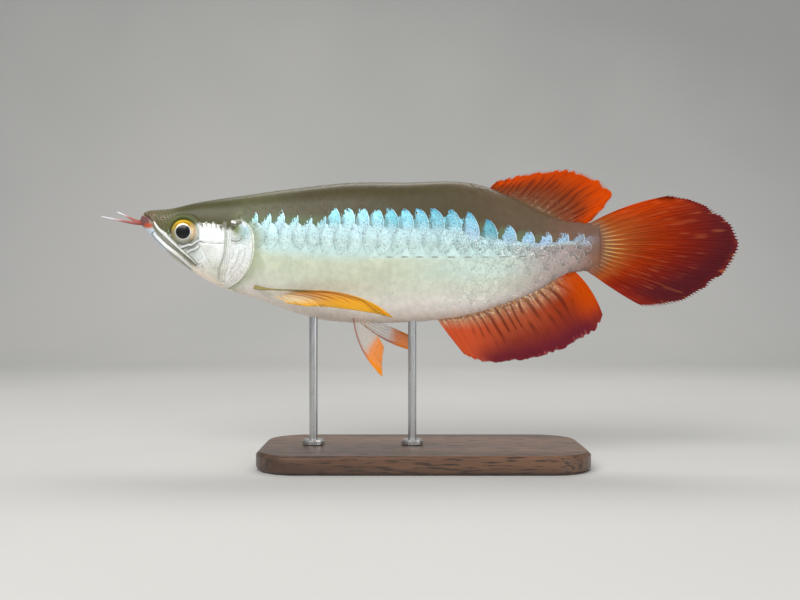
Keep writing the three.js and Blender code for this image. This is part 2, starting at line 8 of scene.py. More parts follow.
import bpy
import numpy as np
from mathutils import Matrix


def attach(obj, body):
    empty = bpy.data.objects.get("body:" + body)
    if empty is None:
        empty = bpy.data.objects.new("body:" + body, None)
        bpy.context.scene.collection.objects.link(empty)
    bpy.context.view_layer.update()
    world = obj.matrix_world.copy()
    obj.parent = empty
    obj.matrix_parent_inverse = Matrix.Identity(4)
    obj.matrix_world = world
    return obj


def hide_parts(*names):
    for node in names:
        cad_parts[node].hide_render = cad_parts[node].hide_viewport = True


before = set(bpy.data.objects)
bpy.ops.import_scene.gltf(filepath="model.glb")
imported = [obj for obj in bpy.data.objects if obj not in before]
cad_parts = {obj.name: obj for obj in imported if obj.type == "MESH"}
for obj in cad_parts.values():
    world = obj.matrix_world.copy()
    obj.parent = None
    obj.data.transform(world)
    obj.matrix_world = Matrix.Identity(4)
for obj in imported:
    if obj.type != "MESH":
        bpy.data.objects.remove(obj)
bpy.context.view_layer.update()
MM = 0.001
AXIS_HEIGHT = 83.0
MID_STATION = 106.45
SNOUT = -2.2
STEM_END = 176.5
LEFT = -1
RIGHT = 1
SIDES = {"left": LEFT, "right": RIGHT}
print("solids loaded:", len(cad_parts))

# %% [markdown]
# The photograph was taken from straight beside the fish, level with a point a little under its
# middle, so the camera looks along +Y. Its lens follows from how wide the view is at the fish.

# %% Camera
VIEW_STATION = 97.8
VIEW_HEIGHT = -20.4
VIEW_DISTANCE = 372.0
VIEW_WIDTH = 308.0
SENSOR = 36.0
NEAR_CLIP = 0.01


def added(name, data):
    """A new object in the scene, unturned at the origin."""
    thing = bpy.data.objects.new(name, data)
    bpy.context.scene.collection.objects.link(thing)
    return thing


camera_data = bpy.data.cameras.new("camera")
camera_data.sensor_width = SENSOR
camera_data.lens = SENSOR * VIEW_DISTANCE / VIEW_WIDTH
camera_data.clip_start = NEAR_CLIP
camera = added("camera", camera_data)
camera.location = (
    (VIEW_STATION - MID_STATION) * MM,
    -VIEW_DISTANCE * MM,
    (VIEW_HEIGHT + AXIS_HEIGHT) * MM,
)
camera.rotation_euler = (np.pi / 2, 0, 0)
bpy.context.scene.camera = camera
bpy.context.scene.view_settings.view_transform = "Standard"
print("camera lens", round(camera_data.lens, 2))


# %% [markdown]
# Each piece is one mesh filled from whole arrays. A helper turns a grid of points into faces, a
# second closes a tube with a fan round a pole at each end, and a third closes a thin sheet into a
# shell: a front grid, a back grid and a rim between them.

# %% Mesh helpers
def placed(points):
    """Fish millimetres (station, across, height) to metres: station less the middle station, and
    height plus the height of the axis over the floor."""
    shift = np.array([-MID_STATION, 0.0, AXIS_HEIGHT])
    return (np.asarray(points, float).reshape(-1, 3) + shift) * MM


def grid_faces(rows, columns, wrap=False):
    """Quads of a grid numbered row by row. With wrap the last column joins the first."""
    index = np.arange(rows * columns).reshape(rows, columns)
    if wrap:
        index = np.concatenate([index, index[:, :1]], axis=1)
    corners = (index[:-1, :-1], index[:-1, 1:], index[1:, 1:], index[1:, :-1])
    return np.stack(corners, axis=-1).reshape(-1, 4)


def capped_faces(rows, columns):
    """Quads of an open tube, and a fan of triangles round the two poles that follow its points."""
    ring = np.arange(columns)
    following = np.roll(ring, -1)
    last = (rows - 1) * columns
    first_pole = np.full(columns, rows * columns)
    first_cap = np.stack([first_pole, following, ring], axis=-1)
    last_cap = np.stack([first_pole + 1, last + ring, last + following], axis=-1)
    return [grid_faces(rows, columns, wrap=True), first_cap, last_cap]


def shell_faces(rows, columns):
    """Quads of a closed thin shell: a front grid, the same grid behind it turned round, and a rim
    that joins their borders."""
    front = grid_faces(rows, columns)
    back = front[:, ::-1] + rows * columns
    index = np.arange(rows * columns).reshape(rows, columns)
    border = np.concatenate([index[0, :-1], index[:-1, -1], index[-1, :0:-1], index[:0:-1, 0]])
    following = np.roll(border, -1)
    behind = rows * columns
    rim = np.stack([following, border, border + behind, following + behind], axis=-1)
    return np.concatenate([front, back, rim])


def repeated(faces, count, each):
    """The same faces for count copies of a piece that has each vertices."""
    return (faces[None] + np.arange(count)[:, None, None] * each).reshape(-1, faces.shape[1])


def as_colour(red, green, blue):
    """A colour written 0 to 255 as a screen shows it, in the linear values that a shader takes."""
    share = np.array([red, green, blue], float) / 255
    return np.where(share <= 0.04045, share / 12.92, ((share + 0.055) / 1.055) ** 2.4)


def facing_out(corners, groups):
    """The same faces, turned round if they enclose a negative volume: the sum over triangles of one
    corner dotted with the cross product of the other two."""
    volume = 0.0
    for faces in groups:
        for k in range(1, faces.shape[1] - 1):
            first, second, third = corners[faces[:, 0]], corners[faces[:, k]], corners[faces[:, k + 1]]
            volume += np.einsum("ij,ij->", first, np.cross(second, third))
    return groups if volume > 0 else [faces[:, ::-1] for faces in groups]


def new_piece(name, points, faces, material, replaced=()):
    """A smooth mesh object from points in fish millimetres and one array of faces or a list of
    them, riding on the body."""
    corners = placed(points)
    groups = facing_out(corners, [faces] if isinstance(faces, np.ndarray) else faces)
    sizes = np.concatenate([np.full(len(group), group.shape[1]) for group in groups])
    loops = np.concatenate([group.ravel() for group in groups]).astype(np.int32)
    mesh = bpy.data.meshes.new(name)
    mesh.vertices.add(len(corners))
    mesh.vertices.foreach_set("co", corners.ravel())
    mesh.loops.add(len(loops))
    mesh.loops.foreach_set("vertex_index", loops)
    mesh.polygons.add(len(sizes))
    mesh.polygons.foreach_set("loop_start", (np.cumsum(sizes) - sizes).astype(np.int32))
    mesh.update(calc_edges=True)
    mesh.shade_smooth()
    piece = added(name, mesh)
    mesh.materials.append(material)
    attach(piece, "root")
    if replaced:
        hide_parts(*replaced)
    print(name, "vertices", len(corners), "faces", len(sizes))
    return piece


def set_values(piece, name, values):
    """A number for each vertex, which a material reads by name."""
    attribute = piece.data.attributes.new(name, "FLOAT", "POINT")
    attribute.data.foreach_set("value", np.asarray(values, np.float32).ravel())


def set_evenly(piece, **values):
    """The same number on every vertex, for each attribute named."""
    for name, value in values.items():
        set_values(piece, name, np.full(len(piece.data.vertices), value))


def set_tint(piece, colours, name="tint"):
    """A colour for each vertex, which a material reads by name."""
    colours = np.asarray(colours, np.float32).reshape(-1, 3)
    full = np.concatenate([colours, np.ones((len(colours), 1), np.float32)], axis=1)
    attribute = piece.data.attributes.new(name, "FLOAT_COLOR", "POINT")
    attribute.data.foreach_set("color", full.ravel())


def set_map(piece, name, places):
    """A UV map from one place for each vertex."""
    layer = piece.data.uv_layers.new(name=name)
    corner = np.empty(len(piece.data.loops), np.int32)
    piece.data.loops.foreach_get("vertex_index", corner)
    layer.data.foreach_set("uv", np.asarray(places, np.float32).reshape(-1, 2)[corner].ravel())


print("a grid of 3 by 4 points has", len(grid_faces(3, 4)), "faces, its shell", len(shell_faces(3, 4)))

# %% [markdown]
# The body is a profile carried along a path. Four curves along the fish give its back, belly, half
# width and widest line, and two more say how square its section is. They are the curves that the
# solids were made from, so the skin lies just inside the solids all the way.

# %% Body curves
def through(pairs):
    """A smooth curve through (station, value) pairs: cubic spans whose slopes weigh the slopes on
    both sides by the opposite span."""
    x, y = np.array(pairs, float).T
    span = np.diff(x)
    rise = np.diff(y) / span
    inner = (rise[:-1] * span[1:] + rise[1:] * span[:-1]) / (span[:-1] + span[1:])
    slope = np.concatenate([rise[:1], inner, rise[-1:]])

    def curve(at):
        """The value at each place. Past the ends the curve holds its end values."""
        at = np.asarray(at, float)
        i = np.clip(np.searchsorted(x, at) - 1, 0, len(span) - 1)
        t = np.clip((at - x[i]) / span[i], 0, 1)
        rest = 1 - t
        held = y[i] * rest**2 * (1 + 2 * t) + y[i + 1] * t**2 * (3 - 2 * t)
        return held + span[i] * t * rest * (slope[i] * rest - slope[i + 1] * t)

    return curve


back_line = through([
    (SNOUT, 10.4), (-1.3, 12.2), (0.6, 13.6), (4, 14.2), (9, 14.5), (20, 16.8), (42, 20.2),
    (60, 22.6), (78, 24.5), (98, 24.7), (131, 23.1), (141, 19.0), (163, 9.8), (170, 9.4), (186, 9.8),
])
belly_line = through([
    (SNOUT, 10.4), (-1.7, 8.7), (-0.6, 7.3), (2, 4.2), (6.5, -0.6), (17.8, -9.3), (28.6, -15.4),
    (42, -19.6), (58, -25.4), (66, -27.6), (78, -29), (95, -29.1), (110, -28.2), (125, -26),
    (137, -22.2), (148, -18.2), (156, -13.8), (163, -9.9), (171, -9.6), (186, -10),
])
half_width = through([
    (SNOUT, 0), (-1.4, 2), (0.2, 3.4), (2.5, 4.6), (6, 5.9), (12, 7.4), (22, 9.1), (34, 10.4),
    (48, 11.2), (70, 11.4), (92, 10.9), (112, 9.6), (131, 7.6), (148, 5.4), (162, 3.9), (172, 3.1),
    (186, 2.5),
])
widest_line = through([
    (SNOUT, 10.4), (2, 9.5), (10, 7), (25, 4), (42, 3), (80, 2), (130, 2), (165, 0), (186, 0),
])
upper_fullness = through([(SNOUT, 0.95), (10, 0.7), (40, 0.76), (80, 0.86), (186, 0.95)])
lower_fullness = through([(SNOUT, 1), (10, 1.1), (40, 1.08), (90, 1.12), (131, 1.1), (186, 1)])


print("deepest place", round(float(back_line(78) - belly_line(78)), 1), "mm")


# %% Sections round the body
def section(station, angle):
    """Half width and height of the body's outline: half width times sine to the fullness, and the
    widest line plus or less its reach times cosine to the fullness. Angle 0 is the back."""
    upper = angle <= np.pi / 2
    fullness = np.where(upper, upper_fullness(station), lower_fullness(station))
    side = half_width(station) * np.clip(np.sin(angle), 0, 1) ** fullness
    rise = np.abs(np.cos(angle)) ** fullness
    widest = widest_line(station)
    above = back_line(station) - widest
    below = widest - belly_line(station)
    return side, np.where(upper, widest + above * rise, widest - below * rise)


TABLE_END = 186.0
STATION_TABLE = np.linspace(SNOUT, TABLE_END, 480)
ANGLE_TABLE = np.linspace(0, np.pi, 241)
SHARE_TABLE = np.linspace(0, 1, 121)
table_side, table_height = section(STATION_TABLE[:, None], ANGLE_TABLE[None])
table_steps = np.hypot(np.diff(table_side, axis=1), np.diff(table_height, axis=1))
arc_table = np.concatenate([np.zeros((len(STATION_TABLE), 1)), table_steps.cumsum(axis=1)], axis=1)
girth_table = np.maximum(arc_table[:, -1], 1e-6)
share_rows = arc_table / girth_table[:, None]
angle_rows = np.stack([np.interp(SHARE_TABLE, row, ANGLE_TABLE) for row in share_rows])


def looked_up(table, row_at, column_at):
    """A value between four neighbours of a table, weighed by how near each is."""
    row = np.clip(row_at, 0, table.shape[0] - 1.001)
    column = np.clip(column_at, 0, table.shape[1] - 1.001)
    r, c = row.astype(int), column.astype(int)
    fr, fc = row - r, column - c
    near = table[r, c] * (1 - fc) + table[r, c + 1] * fc
    far = table[r + 1, c] * (1 - fc) + table[r + 1, c + 1] * fc
    return near * (1 - fr) + far * fr


def table_row(station):
    """The row of the tables, with its fraction, that a station falls on."""
    return (station - SNOUT) / (STATION_TABLE[1] - STATION_TABLE[0])


def half_girth(station):
    """The length of skin from the middle of the back to the middle of the belly."""
    return np.interp(station, STATION_TABLE, girth_table)


def share_at(station, height):
    """How far round from back to belly a height lies, from 0 to 1."""
    station, height = np.broadcast_arrays(np.asarray(station, float), np.asarray(height, float))
    widest = widest_line(station)
    upper = height >= widest
    reach = np.where(upper, back_line(station) - widest, widest - belly_line(station))
    fullness = np.where(upper, upper_fullness(station), lower_fullness(station))
    part = np.clip(np.abs(height - widest) / np.maximum(reach, 1e-6), 0, 1) ** (1 / fullness)
    angle = np.where(upper, np.arccos(part), np.pi - np.arccos(part))
    column = angle / np.pi * (len(ANGLE_TABLE) - 1)
    return looked_up(share_rows, table_row(station), column)


print("half girth at mid body", round(float(half_girth(90)), 1))


# %% Places on the skin
def bare_surface(station, share):
    """Points of the skin: share runs from 0 on the back to 1 on the belly down the right side,
    and on to 2 up the left."""
    share = np.mod(share, 2)
    folded = np.where(share <= 1, share, 2 - share)
    angle = looked_up(angle_rows, table_row(station), folded * (len(SHARE_TABLE) - 1))
    side, height = section(station, angle)
    return np.stack([station, np.where(share <= 1, side, -side), height], axis=-1)


def surface(station, share, lift=0.0):
    """Skin points moved outwards by lift along the normal, the cross product of the two ways
    along the surface."""
    station, share, lift = np.broadcast_arrays(*(np.asarray(v, float) for v in (station, share, lift)))
    points = bare_surface(station, share)
    along = bare_surface(station + 0.08, share) - bare_surface(station - 0.08, share)
    around = bare_surface(station, share + 0.004) - bare_surface(station, share - 0.004)
    normal = np.cross(along, around)
    normal /= np.maximum(np.linalg.norm(normal, axis=-1, keepdims=True), 1e-9)
    return points + normal * lift[..., None]


def flank(station, height, side, lift=0.0):
    """A point on one side of the fish, given as it is seen from beside it."""
    share = share_at(station, height)
    return surface(station, share if side == RIGHT else 2 - share, lift)


print("the flank stands out by", round(float(flank(78.0, 0.0, RIGHT)[1]), 1), "mm")


# %% Seen from the camera
def seen_place(points):
    """Where a point on a flank shows in the side view: pushed out from the view's centre by the
    distance to the middle plane over the distance to the point."""
    nearer = VIEW_DISTANCE / (VIEW_DISTANCE - np.abs(points[..., 1]))
    station = VIEW_STATION + (points[..., 0] - VIEW_STATION) * nearer
    return station, VIEW_HEIGHT + (points[..., 2] - VIEW_HEIGHT) * nearer


def drawn_in(station, height):
    """The other way round: where a place read from the side view lies on the flank. Each pass uses
    how far the flank of the last guess stands out."""
    real_station, real_height = station, height
    for _ in range(3):
        out = np.abs(bare_surface(real_station, share_at(real_station, real_height))[..., 1])
        nearer = 1 - out / VIEW_DISTANCE
        real_station = VIEW_STATION + (station - VIEW_STATION) * nearer
        real_height = VIEW_HEIGHT + (height - VIEW_HEIGHT) * nearer
    return real_station, real_height


print("a cheek place seen at 24, 4 lies at", [round(float(v), 1) for v in drawn_in(24.0, 4.0)])


# %% [markdown]
# Soft masks do most of the painting and sculpting. A step rises smoothly from 0 to 1, a bump is a
# bell round a value, and a line's bell uses the distance to a chain of straight pieces.

# %% Soft masks
def step(value, low, high):
    """0 below low, 1 above high, with a smooth cubic rise between."""
    t = np.clip((value - low) / (high - low), 0, 1)
    return t * t * (3 - 2 * t)


def bump(value, centre, width):
    """A bell of height 1 round a centre."""
    return np.exp(-(((value - centre) / width) ** 2))


def smooth_chain(corners, count):
    """Points of a smooth curve through corners, spaced by chord length."""
    corners = np.array(corners, float)
    steps = np.linalg.norm(np.diff(corners, axis=0), axis=1)
    along = np.concatenate([[0], steps.cumsum()])
    at = np.linspace(0, along[-1], count)
    curves = [through(list(zip(along, axis_values))) for axis_values in corners.T]
    return np.stack([curve(at) for curve in curves], axis=-1)


def distance_to(chain, station, height):
    """The distance from each place on the side of the fish to a chain of straight pieces, and how
    far along the chain, from 0 to 1, the nearest point is."""
    place = np.stack([station, height], axis=-1)[..., None, :]
    start, way = chain[:-1], np.diff(chain, axis=0)
    along = ((place - start) * way).sum(-1) / np.maximum((way**2).sum(-1), 1e-9)
    along = np.clip(along, 0, 1)
    gap = np.linalg.norm(place - (start + way * along[..., None]), axis=-1)
    best = gap.argmin(-1)
    reached = np.take_along_axis(along, best[..., None], -1)[..., 0]
    return gap.min(-1), (best + reached) / len(way)


def mixed(base, over, share):
    """One colour laid over another by a share from 0 to 1."""
    share = np.clip(np.asarray(share, float), 0, 1)[..., None]
    return base * (1 - share) + over * share


def layered(base, layers):
    """Colours laid over a base one after the other: each layer is a colour and its share."""
    for over, share in layers:
        base = mixed(base, over, share)
    return base


def seeded(seed):
    """A source of random numbers that gives the same ones each run."""
    return np.random.default_rng(seed)


def grain(a, b, seed, across, along):
    """Smooth random values from 0 to 1: a table of across by along numbers read between its cells,
    with a smooth step inside each cell."""
    table = seeded(seed).uniform(0, 1, (across + 2, along + 2))
    eased = [np.floor(x) + step(x - np.floor(x), 0, 1) for x in (a * across, b * along)]
    return looked_up(table, *eased)


print("a quarter of the way up a step", float(step(0.25, 0, 1)), "and a bell's flank", float(bump(1, 0, 1)))


# %% [markdown]
# Scales lie in rows that run along the fish and are staggered like roof tiles. In front the lateral
# line is row 5, with five rows up to the middle of the back and four down to the middle of the
# belly. From mid body on the rows over the line get lower, and more of them come in at the back. On
# the stem they get taller and run out again. The rows under the line get taller, and the lowest run
# out over the anal fin. One function gives the row of any place, and both the skin and the scales
# are painted by it, so that they carry the same markings.

# %% Rows of scales
ROWS_UP = 5
ROWS_DOWN = 4
line_height = through([
    (38, -1.5), (51, -2.6), (78, -4.6), (93, -4.3), (130, -4.2), (160, -3.3), (186, -3),
])
station_of_count = through([
    (-3.5, 30), (0.5, 49.8), (4.5, 70.3), (9.5, 97.5), (12.5, 114.7), (14.5, 127.8), (17.5, 149.0),
    (20.5, 168.3), (23.5, 184),
])


def upper_stretch(station):
    """The height of the rows over the lateral line, against a fifth of the way to the back: lower
    from mid body to the dorsal fin, and taller again on the stem."""
    middle = 0.13 * step(station, 80, 98)
    return 1 - middle - 0.22 * step(station, 116, 134) + 0.45 * step(station, 148, 168)


def lower_stretch(station):
    """The height of the rows under the lateral line, against a fourth of the way to the belly: it
    grows towards the tail, so that the lowest ones run out."""
    return 1 + 0.5 * step(station, 108, 168)


def row_share(station, row):
    """The share round the body of a row: the line's share plus or less a row's height for each row
    below or above it. In front row 0 runs along the back and row 9 along the belly."""
    line = share_at(station, line_height(station))
    up = line / ROWS_UP * upper_stretch(station)
    down = (1 - line) / ROWS_DOWN * lower_stretch(station)
    off = row - ROWS_UP
    return line + np.where(off < 0, off * up, off * down)


def row_at(station, share):
    """The row of a place: the other way round from row_share."""
    folded = np.mod(share, 2)
    folded = np.where(folded <= 1, folded, 2 - folded)
    line = share_at(station, line_height(station))
    up = line / ROWS_UP * upper_stretch(station)
    down = (1 - line) / ROWS_DOWN * lower_stretch(station)
    off = folded - line
    return ROWS_UP + np.where(off < 0, off / up, off / down)


print("lateral line at mid body", round(float(line_height(90)), 1))

# %% [markdown]
# The colours are named once. They are read off the fish, as a maker would mix them.

# %% Colours
OLIVE = as_colour(74, 68, 43)
DEEP_OLIVE = as_colour(66, 59, 38)
CROWN_OLIVE = as_colour(72, 70, 40)
NAPE_OLIVE = as_colour(84, 83, 55)
BACK_BROWN = as_colour(97, 79, 61)
STEM_BROWN = as_colour(122, 72, 38)
GAP_GREEN = as_colour(98, 115, 84)
SKY = as_colour(140, 216, 236)
AZURE = as_colour(66, 168, 208)
ICE = as_colour(206, 240, 244)
MINT = as_colour(204, 232, 228)
LEAF = as_colour(204, 212, 188)
CREAM = as_colour(214, 218, 200)
PEARL = as_colour(234, 228, 220)
LILAC = as_colour(174, 150, 147)
LILAC_SKY = as_colour(164, 190, 222)
STEM_RED = as_colour(112, 82, 68)
TEAL = as_colour(70, 176, 188)
BELLY_PINK = as_colour(238, 222, 208)
SILVER = as_colour(232, 238, 236)
SILVER_SHADE = as_colour(150, 156, 152)
SNOUT_BROWN = as_colour(98, 84, 64)
LIP_RED = as_colour(200, 74, 40)
LIP_PINK = as_colour(112, 70, 72)
GILL_GREEN = as_colour(124, 138, 88)
JAW_BLUE = as_colour(206, 222, 240)
PALE_GOLD = as_colour(96, 92, 64)
SHOULDER = as_colour(170, 180, 146)
BORDER = through([
    (38, 11.2), (46.2, 11.9), (54.4, 12.6), (59.3, 11.4), (69.8, 11.5), (74.2, 13.3), (84, 13.8),
    (105, 13.9), (114.7, 14.2), (125.6, 13.2), (132.2, 11.2), (139.3, 8.2), (146.5, 5.9), (153.2, 4.8),
    (159.6, 4.7), (166, 5.0), (174, 3.6), (186, 2.6),
])


print("colours ready, sky blue is", np.round(SKY, 3))


# %% Back and flank
def below_back(station, height, ahead=0.0, hanging=0.0):
    """How far, in millimetres, a place lies under the olive of the back. Ahead of a scale's free
    edge the border falls in a slope in front and in a curve at the rear, and it hangs lower on the
    last olive scales near head and tail."""
    front = 1 - step(station, 66, 78)
    rear = step(station, 126, 136)
    fall = 1.1 * front * ahead + 0.12 * (1 - front) * ahead**2
    return BORDER(station) - height - fall - hanging * (2.6 + front + 0.4 * rear)


def back_colour(station, row):
    """The back: olive, browner towards the dorsal fin, greener low down near the head."""
    colour = mixed(OLIVE, DEEP_OLIVE, bump(row, 1.0, 1.2) * 0.5)
    colour = mixed(NAPE_OLIVE, colour, step(station, 42, 66))
    colour = mixed(colour, BACK_BROWN, step(station, 104, 146) * 0.8)
    low = step(row + 0.5 * step(station, 118, 134), 2.5, 3.1)
    green = 0.85 - 0.5 * step(station, 60, 90)
    green = green + 0.4 * step(station, 120, 134) - 0.6 * step(station, 146, 156)
    colour = mixed(colour, GAP_GREEN, low * green)
    return mixed(colour, STEM_RED, step(station, 148, 166) * 0.85)


def flank_colour(station, row):
    """The flank by row: blue, ice and mint down to the lateral line at row 5, pale green under it,
    cream and pearl below, and lilac taking over towards the tail."""
    rear = step(station, 130, 156)
    blue = mixed(mixed(AZURE, SKY, step(row, 1.95, 2.5)), ICE, step(row, 2.6, 3.5))
    blue = mixed(blue, LILAC_SKY, rear * (1 - step(row, 3.2, 3.7)) * 0.8)
    colour = mixed(blue, mixed(MINT, LILAC, rear * 0.8), step(row, 3.6 - 0.5 * rear, 4.3 - 0.4 * rear))
    leaf = mixed(LEAF, MINT, step(station, 92, 124) * 0.5)
    cream = mixed(leaf, CREAM, step(row, 5.8, 6.8))
    cream = mixed(cream, PEARL, step(row, 6.6, 7.8))
    cream = mixed(cream, BELLY_PINK, step(row, 7.6, 8.8) * 0.7)
    cream = mixed(cream, LILAC, rear * 0.72)
    soft = 0.12 + 0.3 * (1 - step(station, 76, 96))
    return layered(colour, [
        (cream, step(row, 5.02 - soft, 5.02 + soft)),
        (LILAC, step(station, 146, 162) * step(row, 3.4, 4.2) * 0.6),
        (STEM_BROWN, step(station, 159, 175) * 0.92),
    ])


print("the third row is", np.round(flank_colour(90.0, 3.0), 2), "at mid body")

# %% [markdown]
# Outlines on the side of the head, as it is seen from beside the fish: the edge of the gill cover,
# the mouth, the long upper jaw bone, and the seams of the cheek.

# %% Outlines of the head
EYE_SEEN = (14.3, 5.9)
EYE_STATION = 16.1
EYE_HEIGHT = 5.3
EYE_OUT = 5.6
EYE_RADIUS = 5.1
EYE_DEPTH = 3.2
EYE_FULLNESS = 0.86
gill_edge = smooth_chain([
    (36.6, 11.2), (40.6, 7.4), (41.8, 0.5), (40.4, -7), (36.2, -13.2), (31, -16.0),
], 40)
gill_front = smooth_chain([(32.0, 10.4), (30.9, 6.4), (31.0, -0.1), (30.2, -7.4), (29.6, -14.2)], 40)
mouth_line = smooth_chain([
    (-0.9, 12.6), (1.5, 10.9), (2.6, 7.6), (7.3, 1.4), (12.9, -2.5), (19, -7.2),
], 40)
maxilla_top = smooth_chain([
    (3.3, 10.3), (5.4, 7.5), (8.3, 5.2), (11.2, 2.3), (14.6, -1.1), (18.4, -4.6), (20.2, -6.8),
], 40)
maxilla_low = smooth_chain([
    (2.2, 9.7), (3.0, 7.4), (7.5, 1.9), (13.0, -2.2), (17.6, -5.8), (19.6, -7.4),
], 40)
lip_low = smooth_chain([(3.2, 4.9), (6.8, 1.2), (10, -1.5), (13.3, -4.1), (16.5, -6.8), (19, -8.9)], 32)
cheek_seam = smooth_chain([(20.6, 2.2), (22.4, 1.5), (25, 1.1), (28.8, 1.1)], 16)
cheek_rear = smooth_chain([(30.3, 9.0), (30.6, 2), (30.0, -3.4), (28.5, -6.8), (28.2, -12.6)], 24)
throat_line = smooth_chain([(18.6, -8.9), (23.5, -11.9), (29, -15.0), (34, -17.2)], 24)
lid_fold = smooth_chain([(13.2, -0.2), (14.8, 0.3), (16.3, 0.9), (17.6, 0.8), (18.9, 1.7), (20.4, 2.6)], 24)
low_fold = smooth_chain([(15.8, -2.2), (17.2, -1.3), (18.6, -0.9), (20.0, 0.2)], 16)
NOSTRILS = [(3.2, 12.2), (6.4, 11.0)]
mouth_steps = np.linalg.norm(np.diff(mouth_line, axis=0), axis=1)
print("head outlines ready, mouth", round(float(mouth_steps.sum()), 1), "mm")

# %% Relief of the head
RELIEF_LINES = [
    (lip_low, [(0.22, 0, 0.5), (-0.14, 1.05, 0.3)]),
    (lid_fold, [(0.16, 0, 0.3), (-0.12, 0.7, 0.3)]),
    (low_fold, [(0.16, 0, 0.3), (-0.12, 0.7, 0.3)]),
    (cheek_seam, [(-0.14, 0, 0.22)]),
    (cheek_rear, [(-0.3, 0, 0.3)]),
    (gill_edge, [(-0.5, 0, 0.7)]),
]


def head_relief(station, height):
    """The lift of the skin on the head: the socket is a step of the distance to the eye, and the
    mouth, lips, folds and seams are bells round a distance to a line. The list above gives each
    line with the height, the place and the width of its bells."""
    from_eye = np.hypot(station - EYE_SEEN[0], height - EYE_SEEN[1])
    lift = -2.0 * (1 - step(from_eye, 4.3, 5.5))
    lift = lift + 0.28 * bump(from_eye, 6.0, 0.55)
    lift = lift - 0.16 * bump(from_eye, 7.1, 0.4)
    mouth, along = distance_to(mouth_line, station, height)
    lift = lift - 0.6 * bump(mouth, 0, 0.3) * (1 - step(along, 0.93, 1.0))
    lift = lift + 0.14 * bump(mouth, 0.75, 0.35)
    for line, bells in RELIEF_LINES:
        gap, _ = distance_to(line, station, height)
        for rise, place, width in bells:
            lift = lift + rise * bump(gap, place, width)
    return lift


print("the eye's socket is sunk by", round(float(-head_relief(*map(np.array, EYE_SEEN))), 1), "mm")


# %% [markdown]
# Markings of the head, with painted shade in the groove before the gill cover and a painted rim
# highlight along the throat. Each is a soft mask in the side view, laid over the one before, from the
# brown crown and silver cheek to the red lip. Seams, folds and lips are strokes beside a line.

# %% Painting the head
def ragged(station, height, strength):
    """A small wander made of a few sines, to break up the edge between two markings."""
    wave = np.sin(station * 2.1 + height * 0.7) + 0.6 * np.sin(station * 4.7 - height * 1.9 + 1.3)
    return strength * (wave + 0.4 * np.sin(station * 9.3 + height * 3.1))


CROWN_EDGE = through([
    (SNOUT, 8.8), (2, 8.4), (5, 6.2), (8.6, 4.6), (11, 6), (14, 9.2), (18, 9.0), (20.4, 8.7),
    (23.5, 9.1), (26.4, 8.8), (29, 7.6), (31, 7.0), (33.4, 7.4), (36, 10), (39, 9.6), (42, 8.4),
    (48, 10.4),
])
WHITE = as_colour(246, 249, 248)
GREY = as_colour(128, 132, 124)
BEIGE = as_colour(186, 178, 160)
CREASE_GREY = as_colour(104, 108, 100)
FOLD_GREY = as_colour(96, 100, 92)
# Painted shade for the groove between the cheek plates and the gill cover.
GROOVE_SHADE = as_colour(168, 172, 160)
STREAK_GREY = as_colour(164, 166, 150)
SPECK_GOLD = as_colour(176, 168, 132)
LID_GREEN = as_colour(92, 106, 54)
MOUTH_DARK = as_colour(96, 92, 72)
LIP_SHADE = as_colour(112, 112, 98)
# Cream of a painted rim highlight along the throat's lower edge.
THROAT_HIGHLIGHT = as_colour(255, 240, 220)


def along_line(station, height, chain, offset, width):
    """A soft stroke of that width at a distance from a chain of straight pieces."""
    gap, _ = distance_to(chain, station, height)
    return bump(gap, offset, width)


